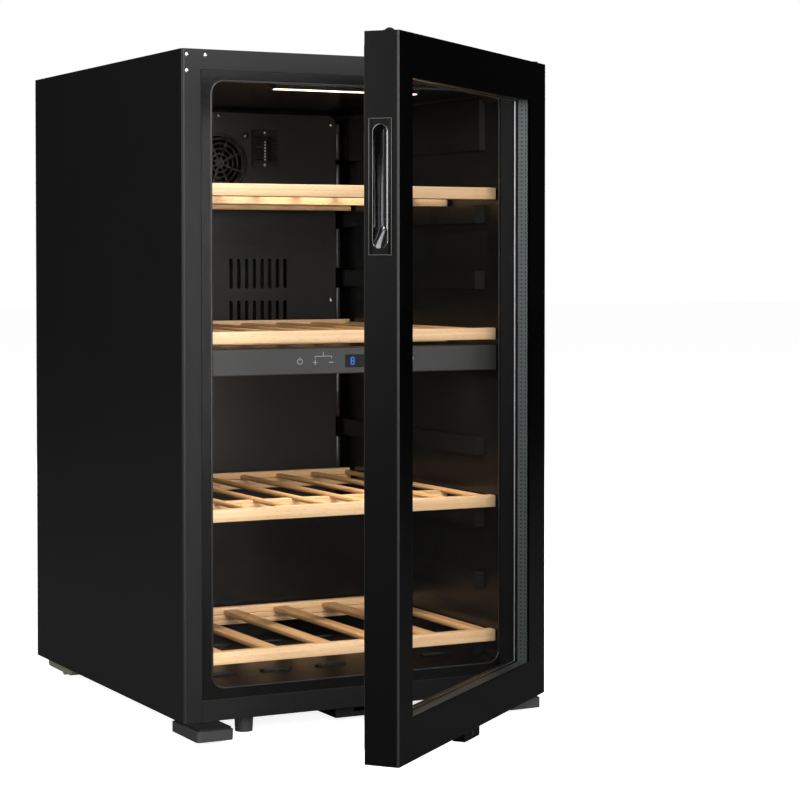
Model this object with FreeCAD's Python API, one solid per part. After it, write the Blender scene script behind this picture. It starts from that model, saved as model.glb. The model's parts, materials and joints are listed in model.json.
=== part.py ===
import FreeCAD, Part
import math
import os
from FreeCAD import Vector

# A dual-zone wine cooler: a painted steel cabinet with a plastic liner, a glazed door on the
# right that stands part open, four beech shelves and the cooling parts behind and below.
# X runs along the front to the right, Y runs back from the cabinet's front face, Z is up from
# the floor. The origin is on the floor, under the middle of the cabinet's front face.

# ---- driving dimensions, millimetres ----
body_width = 595.0
body_height = 1014.0
body_depth = 682.0
base_height = 25.0            # floor to the cabinet's underside

sheet = 1.0                   # painted steel of the wrap and back
pan_sheet = 1.5               # galvanised steel of the base pan
side_return = 30.0            # front return flange of the wrap at each side
top_return = 30.0             # the same at the top
wrap_bend = 5.0               # outer radius of the front corners
seam = 1.2                    # open line between the wrap and what it frames
rail_height = 31.5            # bottom front rail
rail_return = 25.0
pan_lap = 5.0                 # base pan over the front rail's return

liner_wall = 2.0
side_insulation = 47.5        # cabinet side to the liner's inner face
floor_insulation = 49.0
roof_insulation = 46.5
liner_depth = 600.0
liner_corner = 20.0
step_depth = 430.0            # front to the wall of the step over the compressor niche
step_height = 206.0           # liner floor to the top of that step
niche_cover = 45.0            # insulation between the step and the niche

divider_height = 521.5        # cabinet's underside to the control bar's lower edge
bar_height = 40.0
bar_depth = 36.0
front_recess = 5.0            # shelves and control bar behind the cabinet's front face

rib_height = 29.0             # moulded shelf rails
rib_depth = 12.0
rib_start = 47.0
rib_rear_gap = 2.0
pad_bottom = 877.0            # high pad's lower edge above the cabinet's underside
pad_gap = 8.0                 # high pad's upper edge below the liner's roof
pad_depth = 7.0
lower_rib_tops = (75.0, 190.0, 292.0, 409.0)    # above the cabinet's underside
upper_rib_tops = (680.0, 787.0)
divider_thickness = 32.0
divider_drop = 6.5            # divider's top below the control bar's top
bar_clearance = 0.5           # second shelf's rails above the control bar's top

floor_pad_rows = (108.0, 228.0, 348.0)    # behind the cabinet's front face
floor_pad_pitch = 96.0
floor_pad_length = 54.0
floor_pad_width = 18.0
floor_pad_rise = 2.5

shelf_gap = 3.0               # shelf end to liner wall
shelf_lift = 0.3              # shelf above its rail
cross_bar_height = 16.7
slat_thickness = 8.0
strip_rise = 7.7              # front strip's lower edge above the cross bars' lower faces
strip_height = 19.0
strip_thickness = 18.0
cross_bar_depth = 18.0
rear_bar_depth = 18.0
stop_bar_depth = 13.0
stop_bar_rise = 4.0           # rear stop bar above the slats
long_shelf = liner_depth - 59.0
short_shelf = step_depth - 18.0
middle_bar_setback = 160.0    # shelf front to the middle cross bar
fine_slats = 8
wide_slats = 6
fine_slat_width = 12.0
wide_slat_width = 27.0

duct_face = liner_depth - 40.0    # front face of the duct panels
duct_sheet = 4.0
duct_half_width = 229.5
duct_corner = 16.0
fan_height = 870.0            # above the cabinet's underside
fan_opening = 48.0
grille_radius = 54.0
slot_width = 7.0
slot_length = 54.0
slot_pitch = 15.1
slot_start = 23.0             # middle of the panel to the first slot
slot_count = 8
slot_row_tops = (701.0, 626.0)    # above the cabinet's underside
sensor_width = 49.0
sensor_height = 67.0
sensor_side = 87.0            # middle of the panel to the sensor cover's middle
sensor_rise = 27.5            # fan centre to the sensor cover's middle
light_front = 40.0
light_height = 5.0
lens_drop = 1.2               # lens below its channel
lens_thickness = 3.7
light_depth = 18.0
light_half_length = 125.0

door_drop = 4.0               # door's upper edge below the cabinet's top
door_lift = 3.0               # door's lower edge above the cabinet's underside
door_gap = 8.0                # door's back to the cabinet's front face
door_depth = 52.0
front_pane = 4.0
rear_pane = 4.0
pane_space = 16.0
spacer_width = 12.0
pane_play = 2.0
sight_margin = 8.0            # frame's opening beyond the window, behind the panes
free_border = 47.5            # door edge to window, free side
hinge_border = 72.0           # the same, hinge side
top_border = 61.5
bottom_border = 60.0
gasket_inset = 16.0
gasket_width = 14.0
gasket_play = 0.4
door_angle = 39.4             # how far the door stands open at rest

pin_radius = 4.0
pin_play = 0.05
pin_inset = 13.0              # hinge axis to the door's side
pin_setback = 20.0            # hinge axis to the door's front face
pin_reach = 15.0
bush_radius = 8.0
bush_depth = 18.0
hinge_plate = 3.0
fit = 0.3                     # general clearance between bodies

pull_front = 12.5             # pull recess, from the door's front face
pull_width = 31.0
pull_bottom = 703.0           # pull recess above the door's lower edge
pull_length = 183.0
pull_depth = 26.0
pull_wall = 2.0

foot_block_width = 60.0
foot_block_front = 54.0
foot_block_back = 45.0
foot_block_height = 16.0
level_radius = 14.7
level_inset = 111.4           # cabinet side to the levelling foot
level_setback = 28.0
stud_radius = 5.0
stud_reach = 22.0
roller_radius = 11.0
roller_width = 16.0
roller_side = 30.5            # cabinet side to the roller's middle
roller_setback = 605.0
glide_width = 25.0
glide_side = 20.0             # cabinet side to the glide
glide_start = 560.0
glide_drop = 20.0

lock_half_width = 31.0
lock_drop = 18.0
lock_depth = 19.0
lock_setback = 9.0
barrel_radius = 4.5
cam_length = 8.5
cam_thickness = 2.0
cam_play = 1.0
catch_half_width = 37.5
catch_front = 10.0
catch_back = 80.0
catch_height = 17.0
catch_wall = 2.0

# ---- levels and faces that follow from them ----
half = body_width / 2
base = base_height
top = base + body_height
floor = base + floor_insulation
ceiling = top - roof_insulation
wall = half - side_insulation
step_top = floor + step_height
niche_front = step_depth + niche_cover
niche_roof = step_top - niche_cover
bar_bottom = base + divider_height
bar_top = bar_bottom + bar_height
divider_top = bar_top - divider_drop
divider_rib_top = bar_top + bar_clearance
rib_end = liner_depth - rib_rear_gap
door_bottom = base + door_lift
door_top = top - door_drop
door_back = -door_gap
door_front = door_back - door_depth
pane_back = door_front + front_pane
spacer_back = pane_back + pane_space
glass_back = spacer_back + rear_pane
window = (-half + free_border, half - hinge_border, door_bottom + bottom_border, door_top - top_border)
pin_x = half - pin_inset
pin_y = door_front + pin_setback
fan_z = base + fan_height
rib_tops = [base + rise for rise in lower_rib_tops + upper_rib_tops]


def block(x0, x1, y0, y1, z0, z1):
    """A box between two values on each axis."""
    return Part.makeBox(x1 - x0, y1 - y0, z1 - z0, Vector(x0, y0, z0))


def rod(radius, x, y, z, length, axis="z"):
    """A cylinder that starts at the point and runs along an axis."""
    way = {"x": Vector(1, 0, 0), "y": Vector(0, 1, 0), "z": Vector(0, 0, 1)}[axis]
    return Part.makeCylinder(radius, length, Vector(x, y, z), way)


def rounded(shape, radius, axis, keep=None):
    """Fillets the edges that run along an axis; keep picks them by their middle point."""
    way = {"x": Vector(1, 0, 0), "y": Vector(0, 1, 0), "z": Vector(0, 0, 1)}[axis]
    edges = []
    for edge in shape.Edges:
        if not isinstance(edge.Curve, Part.Line):
            continue
        if abs(edge.Curve.Direction.dot(way)) < 0.999:
            continue
        if keep is None or keep(edge.CenterOfMass):
            edges.append(edge)
    return shape.makeFillet(radius, edges)


def fused(shapes):
    """One solid from touching or overlapping shapes."""
    first, rest = shapes[0], shapes[1:]
    return first.fuse(rest).removeSplitter() if rest else first


def cut_all(shape, tools):
    """The shape with every tool taken away."""
    return shape.cut(tools) if tools else shape


def mirrored(shape):
    """The shape's twin on the other side of the cabinet's middle."""
    return shape.mirror(Vector(0, 0, 0), Vector(1, 0, 0))


def opened(shape):
    """Turns a closed-door shape about the hinge axis to where the door stands at rest."""
    turned = shape.copy()
    turned.rotate(Vector(pin_x, pin_y, 0), Vector(0, 0, 1), door_angle)
    return turned


# ---- cabinet shell ----
def cabinet_wrap():
    """Left side, top and right side in one bent sheet, with return flanges at the front."""
    front_edges = lambda p: p.y < 1
    outer = rounded(block(-half, half, 0, body_depth, base, top), wrap_bend, "z", front_edges)
    hollow = block(-half + sheet, half - sheet, sheet, body_depth + 1, base - 1, top - sheet)
    hollow = rounded(hollow, wrap_bend - sheet, "z", lambda p: p.y < sheet + 1)
    mouth = block(-half + side_return, half - side_return, -1, sheet + 1, base - 1, top - top_return)
    shell = outer.cut(hollow).cut(mouth)
    holes = [rod(3.0, x, -1, z, sheet + 2, "y") for x, z in hinge_hole_points()]
    holes += [rod(3.0, -x, -1, z, sheet + 2, "y") for x, z in hinge_hole_points()]
    return cut_all(shell, holes)


def hinge_hole_points():
    """Three hinge screw places at the top right front corner."""
    return [(half - 8.6, top - 9.5), (half - 38.6, top - 9.5), (half - 8.6, top - 33.4)]


def bottom_front_rail():
    """The strip under the liner's mouth, with its return under the cabinet."""
    reach = half - side_return - seam / 2
    face = block(-reach, reach, 0, sheet, base, base + rail_height)
    flange = block(-reach, reach, 0, rail_return, base, base + sheet)
    bores = [rod(stud_radius + fit, x, y, base - 1, 3) for x, y in level_points()]
    return cut_all(face.fuse(flange).removeSplitter(), bores)


def level_points():
    """Centres of the two levelling feet."""
    return [(-half + level_inset, level_setback), (half - level_inset, level_setback)]


def base_pan():
    """Folded pan: cabinet floor, niche riser and niche roof, with welded nuts for the feet."""
    side = half - sheet
    start = rail_return - pan_lap
    pan_floor = block(-side, side, start, niche_front, base + sheet, base + sheet + pan_sheet)
    riser = block(-side, side, niche_front - pan_sheet, niche_front, base + sheet, niche_roof + pan_sheet)
    roof = block(-side, side, niche_front - pan_sheet, body_depth - sheet, niche_roof, niche_roof + pan_sheet)
    nuts = [rod(10.0, x, y, base + sheet, 10.0) for x, y in level_points()]
    pan = fused([pan_floor, riser, roof] + nuts)
    bores = [rod(stud_radius + fit, x, y, base - 1, stud_reach) for x, y in level_points()]
    return cut_all(pan, bores)


def back_panel():
    """Flat rear sheet above the compressor niche."""
    side = half - sheet
    return block(-side, side, body_depth - sheet, body_depth, niche_roof + pan_sheet, top - sheet)


def cavity(grow):
    """The storage space as a solid, grown outwards by a wall, with the step at its rear."""
    x = wall + grow
    front = block(-x, x, -1, step_depth + grow, floor - grow, ceiling + grow)
    rear = block(-x, x, 100, liner_depth + grow, step_top - grow, ceiling + grow)
    radius = liner_corner + grow
    return rounded(front, radius, "y").fuse(rounded(rear, radius, "y")).removeSplitter()


def side_rib(low, high, depth, start=None, end=None):
    """One moulded rail on the right wall, its front end cut off at 45 degrees."""
    start = rib_start if start is None else start
    end = rib_end if end is None else end
    root = wall + liner_wall / 2
    outline = [(root, start), (wall - depth, start + depth), (wall - depth, end), (root, end)]
    points = [Vector(x, y, low) for x, y in outline]
    face = Part.Face(Part.makePolygon(points + points[:1]))
    return face.extrude(Vector(0, 0, high - low))


def liner_ribs():
    """All rails of the right wall: under each shelf place, over the divider, and a high pad."""
    ribs = []
    for level in rib_tops:
        end = step_depth - fit if level < step_top else rib_end
        ribs.append(side_rib(level - rib_height, level, rib_depth, end=end))
    ribs.append(side_rib(divider_top + fit, divider_rib_top, rib_depth, end=duct_face - fit))
    ribs.append(side_rib(base + pad_bottom, ceiling - pad_gap, pad_depth))
    return [rib.common(cavity(liner_wall / 2)) for rib in ribs]


def floor_pads():
    """Rows of low lozenge pads moulded in the liner's floor."""
    pads = []
    reach = floor_pad_length / 2
    half = floor_pad_width / 2
    for y in floor_pad_rows:
        for place in range(5):
            x = (place - 2) * floor_pad_pitch
            bar = block(x - reach, x + reach, y - half, y + half, floor - liner_wall / 2, floor + floor_pad_rise)
            pads.append(rounded(bar, half - 0.1, "z"))
    return pads


def inner_liner():
    """Vacuum-formed liner with its front flange, rails and floor pads, open at the front."""
    shell = cavity(liner_wall).cut(cavity(0))
    shell = shell.cut(block(-half, half, -2, 0, base, top))
    reach = half - side_return - seam
    low = base + rail_height + seam
    flange = block(-reach, reach, 0, liner_wall, low, top - top_return - seam).cut(cavity(0))
    ribs = liner_ribs()
    ribs += [mirrored(rib) for rib in ribs]
    return fused([shell, flange] + ribs + floor_pads())


def foam_insulation():
    """Foam that fills the space between the sheet metal and the liner."""
    side = half - sheet - fit
    low = base + sheet + pan_sheet + fit
    front = liner_wall + fit
    solid = block(-side, side, front, body_depth - sheet - fit, low, top - sheet - fit)
    niche = block(-half, half, niche_front - pan_sheet - fit, body_depth, base, niche_roof + pan_sheet + fit)
    pockets = [rod(12.0, x, y, base, stud_reach + 12) for x, y in level_points()]
    front_corners = lambda p: p.y < front + 1
    solid = rounded(solid, wrap_bend, "z", front_corners)
    return cut_all(solid, [cavity(liner_wall + fit / 3), niche] + pockets)


# ---- inside ----
def duct_slots():
    """Two rows of upright slots on each side of the upper duct panel."""
    slots = []
    for row_top in slot_row_tops:
        for number in range(slot_count):
            x = slot_start + number * slot_pitch
            for side in (x, -x):
                high = base + row_top
                cut = block(side - slot_width / 2, side + slot_width / 2, duct_face - 1,
                            duct_face + duct_sheet + 1, high - slot_length, high)
                slots.append(rounded(cut, slot_width / 2 - 0.1, "y"))
    return slots


def upper_duct_panel():
    """Cover of the upper zone's air duct, with the fan opening and the air slots."""
    low = divider_rib_top + fit
    high = ceiling - 8.0
    plate = block(-duct_half_width, duct_half_width, duct_face, duct_face + duct_sheet, low, high)
    plate = rounded(plate, duct_corner, "y", lambda p: p.z > high - 1)
    flange = block(-duct_half_width, duct_half_width, duct_face, liner_depth - fit, low, low + 3)
    plate = plate.fuse(flange).removeSplitter()
    opening = rod(fan_opening, 0, duct_face - 1, fan_z, duct_sheet + 2, "y")
    x0, x1, z0, z1 = sensor_box()
    sensor = block(x0 + 7, x1 - 7, duct_face - 1, duct_face + duct_sheet + 1, z0 + 10, z1 - 10)
    holes = [rod(1.6, x, duct_face - 1, z, duct_sheet + 2, "y") for x, z in duct_screw_points()]
    return cut_all(plate, [opening, sensor] + duct_slots() + holes)


def sensor_box():
    """Edges of the sensor cover."""
    x = sensor_side
    z = fan_z + sensor_rise
    return x - sensor_width / 2, x + sensor_width / 2, z - sensor_height / 2, z + sensor_height / 2


def duct_screw_points():
    """Screws that hold the upper duct panel, the grille and the sensor cover."""
    x0, x1, z0, z1 = sensor_box()
    edge = duct_half_width - 8.5
    high = ceiling - 13.5
    points = [(0, high), (edge, high - 11), (-edge, high - 11), (edge, base + 625), (-edge, base + 625)]
    points += [(50, fan_z + 50), (-50, fan_z + 50), (sensor_side, z0 + 5), (sensor_side, z1 - 5)]
    return points


def lower_duct_panel():
    """Plain cover of the lower zone's cold wall, between the step and the divider."""
    low = step_top + fit
    high = bar_bottom - fit
    plate = block(-duct_half_width, duct_half_width, duct_face, duct_face + duct_sheet, low, high)
    foot = block(-duct_half_width, duct_half_width, duct_face, liner_depth - fit, high - 3, high)
    return plate.fuse(foot).removeSplitter()


def fan_grille():
    """Finger guard: flat rings joined by spokes, with two screw ears."""
    front = duct_face - 4.0
    parts = []
    for ring in range(6):
        outer = grille_radius - ring * 9.0
        band = 4.0 if ring == 0 else 3.0
        tube = rod(outer, 0, front, fan_z, 3.7, "y")
        parts.append(tube.cut(rod(outer - band, 0, front - 1, fan_z, 6, "y")))
    for turn in range(4):
        spoke = block(-1.8, 1.8, front + 1, front + 3.7, -grille_radius + 1, grille_radius - 1)
        spoke.rotate(Vector(0, 0, 0), Vector(0, 1, 0), 45 * turn + 20)
        spoke.translate(Vector(0, 0, fan_z))
        parts.append(spoke)
    for x, z in duct_screw_points()[5:7]:
        parts.append(rod(6.5, x, front + 1, z, 2.7, "y"))
        link = block(-3, 3, front + 1, front + 3.7, -24, 0)
        link.rotate(Vector(0, 0, 0), Vector(0, 1, 0), math.degrees(math.atan2(x, z - fan_z)))
        link.translate(Vector(x, 0, z))
        parts.append(link)
    grille = fused(parts)
    return cut_all(grille, [rod(1.6, x, front - 1, z, 8, "y") for x, z in duct_screw_points()[5:7]])


def fan_frame(x, y, z, radius, depth):
    """Square fan frame along Y with a motor cup held by four struts; open through the blades."""
    size = radius + 4
    frame = block(x - size, x + size, y, y + depth, z - size, z + size)
    frame = frame.cut(rod(radius, x, y - 1, z, depth + 2, "y"))
    hub = rod(radius * 0.38, x, y + depth - 6, z, 6, "y")
    parts = [frame, hub]
    for turn in range(4):
        strut = block(-2, 2, y + depth - 4, y + depth, radius * 0.3, radius + 1)
        strut.rotate(Vector(0, 0, 0), Vector(0, 1, 0), 45 + 90 * turn)
        strut.translate(Vector(x, 0, z))
        parts.append(strut)
    shaft = rod(1.5, x, y + depth - 16, z, 12, "y")
    return fused(parts + [shaft])


def fan_rotor(x, y, z, radius, depth, blades):
    """Hub and pitched blades that spin on the frame's shaft."""
    hub_radius = radius * 0.36
    blade_depth = depth - 10
    hub = rod(hub_radius, x, y + 2, z, blade_depth, "y")
    parts = [hub]
    for number in range(blades):
        blade = block(-1.0, 1.0, -blade_depth * 0.5, blade_depth * 0.5, 0, radius - 2.5)
        blade.rotate(Vector(0, 0, 0), Vector(0, 0, 1), 38)
        blade.rotate(Vector(0, 0, 0), Vector(0, 1, 0), 360 / blades * number)
        blade.translate(Vector(x, y + 2 + blade_depth / 2, z))
        limit = rod(radius - 2.0, x, y + 2, z, blade_depth, "y")
        parts.append(blade.common(limit))
    bore = rod(1.5 + pin_play, x, y, z, depth, "y")
    return fused(parts).cut(bore)


def sensor_cover():
    """Slatted cover over the temperature sensor, held by two screws."""
    front = duct_face - 6.0
    x0, x1, z0, z1 = sensor_box()
    case = rounded(block(x0, x1, front, duct_face, z0, z1), 3.0, "y")
    case = case.cut(block(x0 + 2, x1 - 2, front + 2, duct_face + 1, z0 + 11, z1 - 11))
    slits = []
    pitch = (z1 - z0 - 24) / 9
    for number in range(9):
        z = z0 + 12.5 + number * pitch
        slits.append(block(x0 + 4, sensor_side - 4, front - 1, front + 3, z, z + pitch * 0.5))
        slits.append(block(sensor_side + 4, x1 - 4, front - 1, front + 3, z, z + pitch * 0.5))
    holes = [rod(1.6, x, front - 1, z, 8, "y") for x, z in duct_screw_points()[7:9]]
    return cut_all(case, slits + holes)


def screw(x, y, z, head, length):
    """A domed screw whose head rests on a face at y and whose shank runs back."""
    dome = Part.makeSphere(head * 1.25, Vector(x, y + head * 0.75, z))
    dome = dome.common(block(x - head, x + head, y - head, y, z - head, z + head))
    return dome.fuse(rod(1.5, x, y - 0.1, z, length, "y")).removeSplitter()


def panel_screws():
    """The screws of the duct panel, the grille and the sensor cover."""
    screws = []
    for number, (x, z) in enumerate(duct_screw_points()):
        face = duct_face if number < 5 else duct_face - 3.0 if number < 7 else duct_face - 6.0
        screws.append(screw(x, face, z, 3.6, 9.0))
    return Part.makeCompound(screws)


def led_housing():
    """Channel on the liner's roof that carries the light strip."""
    end = light_half_length
    back = light_front + light_depth
    body = block(-end, end, light_front, back, ceiling - light_height, ceiling)
    room = block(-end + 2, end - 2, light_front + 2, back - 2, ceiling - light_height - 1, ceiling - 2)
    return body.cut(room)


def led_lens():
    """Diffuser snapped in the light channel."""
    end = light_half_length - 2.2
    back = light_front + light_depth - 2.2
    low = ceiling - light_height - lens_drop
    lens = block(-end, end, light_front + 2.2, back, low, low + lens_thickness)
    return rounded(lens, 1.5, "x", lambda p: p.z < low + 1)


def display_box():
    """Edges of the display window in the control bar."""
    return (-23.5, 23.5, bar_bottom + 9.0, bar_bottom + 29.5)


def control_panel():
    """Control bar across the liner, hollow behind, with a pocket for the display window."""
    reach = wall - shelf_gap
    back = front_recess + bar_depth
    bar = block(-reach, reach, front_recess, back, bar_bottom, bar_top)
    bar = rounded(bar, 1.5, "x", lambda p: p.y < front_recess + 1)
    hollow = block(-reach + 3, reach - 3, front_recess + 5, back + 1, bar_bottom + 3, bar_top - 3)
    x0, x1, z0, z1 = display_box()
    pocket = block(x0, x1, front_recess - 1, front_recess + 2, z0, z1)
    vents = [block(x, x + 1.6, front_recess + 1, front_recess + 16, bar_bottom - 1, bar_bottom + 4)
             for x in [-102.0 + 3.8 * number for number in range(13)]]
    return cut_all(bar, [hollow, pocket] + vents)


def display_window():
    """Dark window over the number display."""
    x0, x1, z0, z1 = display_box()
    return block(x0 + 0.2, x1 - 0.2, front_recess + 0.1, front_recess + 2, z0 + 0.2, z1 - 0.2)


def zone_divider():
    """Insulated shelf between the two zones, behind the control bar."""
    side = wall - fit
    start = front_recess + bar_depth + fit
    return block(-side, side, start, duct_face - fit, divider_top - divider_thickness, divider_top)


def upper_evaporator():
    """Finned coil behind the upper duct panel, beside the fan, sealed from view."""
    parts = []
    for number in range(12):
        x = -205.0 + number * 12.0
        parts.append(block(x, x + 1.2, duct_face + 8, liner_depth - 4, base + 640, base + 800))
    for row in range(4):
        z = base + 660 + row * 40
        parts.append(rod(4.0, -210.0, duct_face + 22, z, 145.0, "x"))
    return fused(parts)


def lower_evaporator():
    """Flat cold plate behind the lower duct panel."""
    low = step_top + 20
    plate = block(-190, 190, liner_depth - 8, liner_depth - 5, low, bar_bottom - 24)
    runs = []
    for row in range(5):
        z = low + 20 + row * 45
        if z < bar_bottom - 34:
            runs.append(rod(4.0, -180, liner_depth - 9, z, 360, "x"))
    return fused([plate] + runs)


# ---- shelves ----
def shelf_levels():
    """Underside, depth, slat count, slat width and middle bar of each shelf, top one first."""
    fine = (long_shelf, fine_slats, fine_slat_width, True)
    wide = (short_shelf, wide_slats, wide_slat_width, False)
    places = [(rib_tops[5], fine), (divider_rib_top, fine), (rib_tops[2], fine), (rib_tops[0], wide)]
    return [(rail + shelf_lift,) + kind for rail, kind in places]


def shelf_front(level):
    """Solid beech front strip with eased edges."""
    reach = wall - shelf_gap
    back = front_recess + strip_thickness
    low = level + strip_rise
    strip = block(-reach, reach, front_recess, back, low, low + strip_height)
    strip = rounded(strip, 3.0, "z", lambda p: p.y < front_recess + 1)
    return rounded(strip, 1.5, "x", lambda p: p.y < front_recess + 1)


def shelf_rack(level, depth, count, width, middle_bar):
    """Slats on cross bars: a front batten, a middle bar, and a rear bar under a stop bar."""
    reach = wall - shelf_gap - 1.5
    slat_low = level + cross_bar_height
    slat_top = slat_low + slat_thickness
    start = front_recess + strip_thickness
    end = front_recess + depth
    stop = end - stop_bar_depth
    solids = []
    pitch = 2 * (reach - width / 2) / (count - 1)
    for number in range(count):
        x = -reach + width / 2 + number * pitch
        slat = block(x - width / 2, x + width / 2, start, stop, slat_low, slat_top)
        solids.append(rounded(slat, 2.0, "y", lambda p: p.z > slat_top - 1))
    batten_low = level + strip_rise
    solids.append(block(-reach, reach, start, start + cross_bar_depth, batten_low, slat_low))
    bars = [(end - rear_bar_depth, end)]
    if middle_bar:
        middle = front_recess + middle_bar_setback
        bars.append((middle, middle + cross_bar_depth))
    for y0, y1 in bars:
        solids.append(block(-reach, reach, y0, y1, level, slat_low))
    solids.append(block(-reach, reach, stop, end, slat_low, slat_top + stop_bar_rise))
    return Part.makeCompound(solids)


# ---- door, drawn closed ----
def window_ring(grow, y0, y1):
    """The window's opening as a solid, grown on every side."""
    x0, x1, z0, z1 = window
    return block(x0 - grow, x1 + grow, y0, y1, z0 - grow, z1 + grow)


def door_frame():
    """Black frame behind the front pane, rebated for the glazing and pierced for the fittings."""
    frame = block(-half, half, pane_back, door_back, door_bottom, door_top)
    rebate = window_ring(spacer_width + pane_play, pane_back - 1, glass_back)
    sight = window_ring(sight_margin, glass_back - 1, door_back + 1)
    pull = block(-half - 1, -half + pull_depth, door_front + pull_front, door_front + pull_front + pull_width,
                 door_bottom + pull_bottom, door_bottom + pull_bottom + pull_length)
    tools = [rebate, sight, pull]
    for x in (pin_x, -pin_x):
        tools.append(rod(bush_radius, x, pin_y, door_bottom - 1, bush_depth + 1))
        tools.append(rod(bush_radius, x, pin_y, door_top - bush_depth, bush_depth + 1))
    return cut_all(frame, tools)


def front_glass():
    """Outer pane over the whole door."""
    return block(-half, half, door_front, pane_back, door_bottom, door_top)


def rear_glass():
    """Inner pane of the sealed unit."""
    return window_ring(spacer_width, spacer_back, glass_back)


def glass_spacer():
    """Hollow metal spacer frame between the panes."""
    ring = window_ring(spacer_width, pane_back, spacer_back)
    return ring.cut(window_ring(0, pane_back - 1, spacer_back + 1))


def door_gasket():
    """Magnetic seal on the door's back."""
    edge = half - gasket_inset
    low, high = door_bottom + gasket_inset, door_top - gasket_inset
    outer = block(-edge, edge, door_back, -gasket_play, low, high)
    inner = block(-edge + gasket_width, edge - gasket_width, door_back - 1, 1,
                  low + gasket_width, high - gasket_width)
    ring = rounded(outer, 4.0, "y").cut(inner)
    return ring


def pull_box(grow):
    """The pull recess's outline from the door's edge inwards, grown by a margin."""
    y0 = door_front + pull_front
    z0 = door_bottom + pull_bottom
    return block(-half - 1, -half + pull_depth + grow, y0 - grow, y0 + pull_width + grow,
                 z0 - grow, z0 + pull_length + grow)


def handle_cup():
    """Chromed finger cup set in the door's free edge, open to the side."""
    outer = pull_box(-0.1).cut(block(-half - 2, -half, door_front, 0, door_bottom, door_top))
    inner = pull_box(-pull_wall)
    inner = rounded(inner, 7.0, "x")
    return outer.cut(inner)


def handle_bezel():
    """Thin rim round the finger cup, on the door's free edge."""
    y0 = door_front + pull_front
    z0 = door_bottom + pull_bottom
    plate = block(-half - 1.6, -half, y0 - 2, y0 + pull_width + 2, z0 - 3, z0 + pull_length + 3)
    plate = rounded(plate, 3.0, "x")
    hole = block(-half - 3, -half + 1, y0 + 4, y0 + pull_width - 4, z0 + 5, z0 + pull_length - 5)
    return plate.cut(rounded(hole, 6.0, "x"))


def door_plugs():
    """Domed covers of the spare hinge bores, with their washers, at the free side."""
    parts = []
    washer = rod(bush_radius + 1.5, -pin_x, pin_y, door_top, 1.0)
    stem = rod(bush_radius - 0.5, -pin_x, pin_y, door_top - bush_depth + 2, bush_depth - 2)
    dome = Part.makeSphere(bush_radius, Vector(-pin_x, pin_y, door_top - 3.0))
    dome = dome.common(rod(bush_radius, -pin_x, pin_y, door_top + 1, 10))
    parts.append(fused([washer, stem, dome]))
    low_washer = rod(bush_radius + 1.5, -pin_x, pin_y, door_bottom - 1.0, 1.0)
    low_stem = rod(bush_radius - 0.5, -pin_x, pin_y, door_bottom, bush_depth - 2)
    parts.append(low_washer.fuse(low_stem).removeSplitter())
    return Part.makeCompound(parts)


def hinge_bushes():
    """Flanged plastic bushes in the door's hinge corners."""
    bore = pin_radius + pin_play
    low = rod(bush_radius, pin_x, pin_y, door_bottom, bush_depth)
    low = low.fuse(rod(bush_radius + 1.5, pin_x, pin_y, door_bottom - 1.5, 1.5)).removeSplitter()
    low = low.cut(rod(bore, pin_x, pin_y, door_bottom - 2, pin_reach + 2.5))
    high = rod(bush_radius, pin_x, pin_y, door_top - bush_depth, bush_depth)
    high = high.cut(rod(bore, pin_x, pin_y, door_top - pin_reach - 0.5, pin_reach + 2))
    return Part.makeCompound([low, high])


def lock_axis():
    """Height and front face of the lock barrel, on the door's middle line."""
    return door_bottom - lock_drop / 2, door_front + lock_setback


def lock_housing():
    """Lock case screwed under the door's lower edge."""
    z, y = lock_axis()
    case = block(-lock_half_width, lock_half_width, y, y + lock_depth, door_bottom - lock_drop, door_bottom)
    case = rounded(case, 3.0, "y", lambda p: p.z < door_bottom - 1)
    return case.cut(rod(barrel_radius + pin_play, 0, y - 1, z, lock_depth + 2, "y"))


def lock_barrel():
    """Key barrel with its tail and cam; the cam lies level when unlocked."""
    z, y = lock_axis()
    barrel = rod(barrel_radius, 0, y - 1.5, z, lock_depth + 3.0, "y")
    keyway = block(-0.8, 0.8, y - 2, y + 6, z - 3, z + 3)
    tail_end = catch_front + catch_wall + cam_play + cam_thickness
    tail = rod(2.0, 0, y + lock_depth, z, tail_end - y - lock_depth, "y")
    cam = block(-2.0, cam_length, tail_end - cam_thickness, tail_end, z - 2.0, z + 2.0)
    return fused([barrel, tail, cam]).cut(keyway)


# ---- what carries the door and the cabinet ----
def lock_catch():
    """Catch under the cabinet's front: a pressed box whose slot lets the cam in."""
    z, y = lock_axis()
    high = base
    low = base - catch_height
    side = catch_half_width
    box = block(-side, side, catch_front, catch_back, low, high)
    inner = side - catch_wall
    room = block(-inner, inner, catch_front + catch_wall, catch_back + 1, low + catch_wall, high + 1)
    slot = block(-6.0, cam_length + 4.0, catch_front - 1, catch_front + catch_wall + 1, z - 3.0, z + 3.0)
    return box.cut(room).cut(slot)


def arm(low, high, width):
    """A hinge arm seen from above: a round nose on the hinge axis and a tail to the cabinet."""
    nose = rod(width / 2, pin_x, pin_y, low, high - low)
    tail = block(pin_x - width / 2, pin_x + width / 2, pin_y, 0, low, high)
    return nose.fuse(tail).removeSplitter()


def upper_hinge_bracket():
    """Bracket screwed to the cabinet's front corner, its arm over the door."""
    low = door_top + fit + 0.3
    high = low + hinge_plate
    face = hinge_plate - 0.5
    across = block(half - 46, half - 1, -face, 0, top - 17, top - 2)
    down = block(half - 15.5, half - 1, -face, 0, top - 40, top - 2)
    bracket = fused([arm(low, min(high, top - 0.2), 22.0), across, down])
    holes = [rod(2.2, x, -face - 1, z, face + 2, "y") for x, z in hinge_hole_points()]
    return cut_all(bracket, holes)


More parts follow.
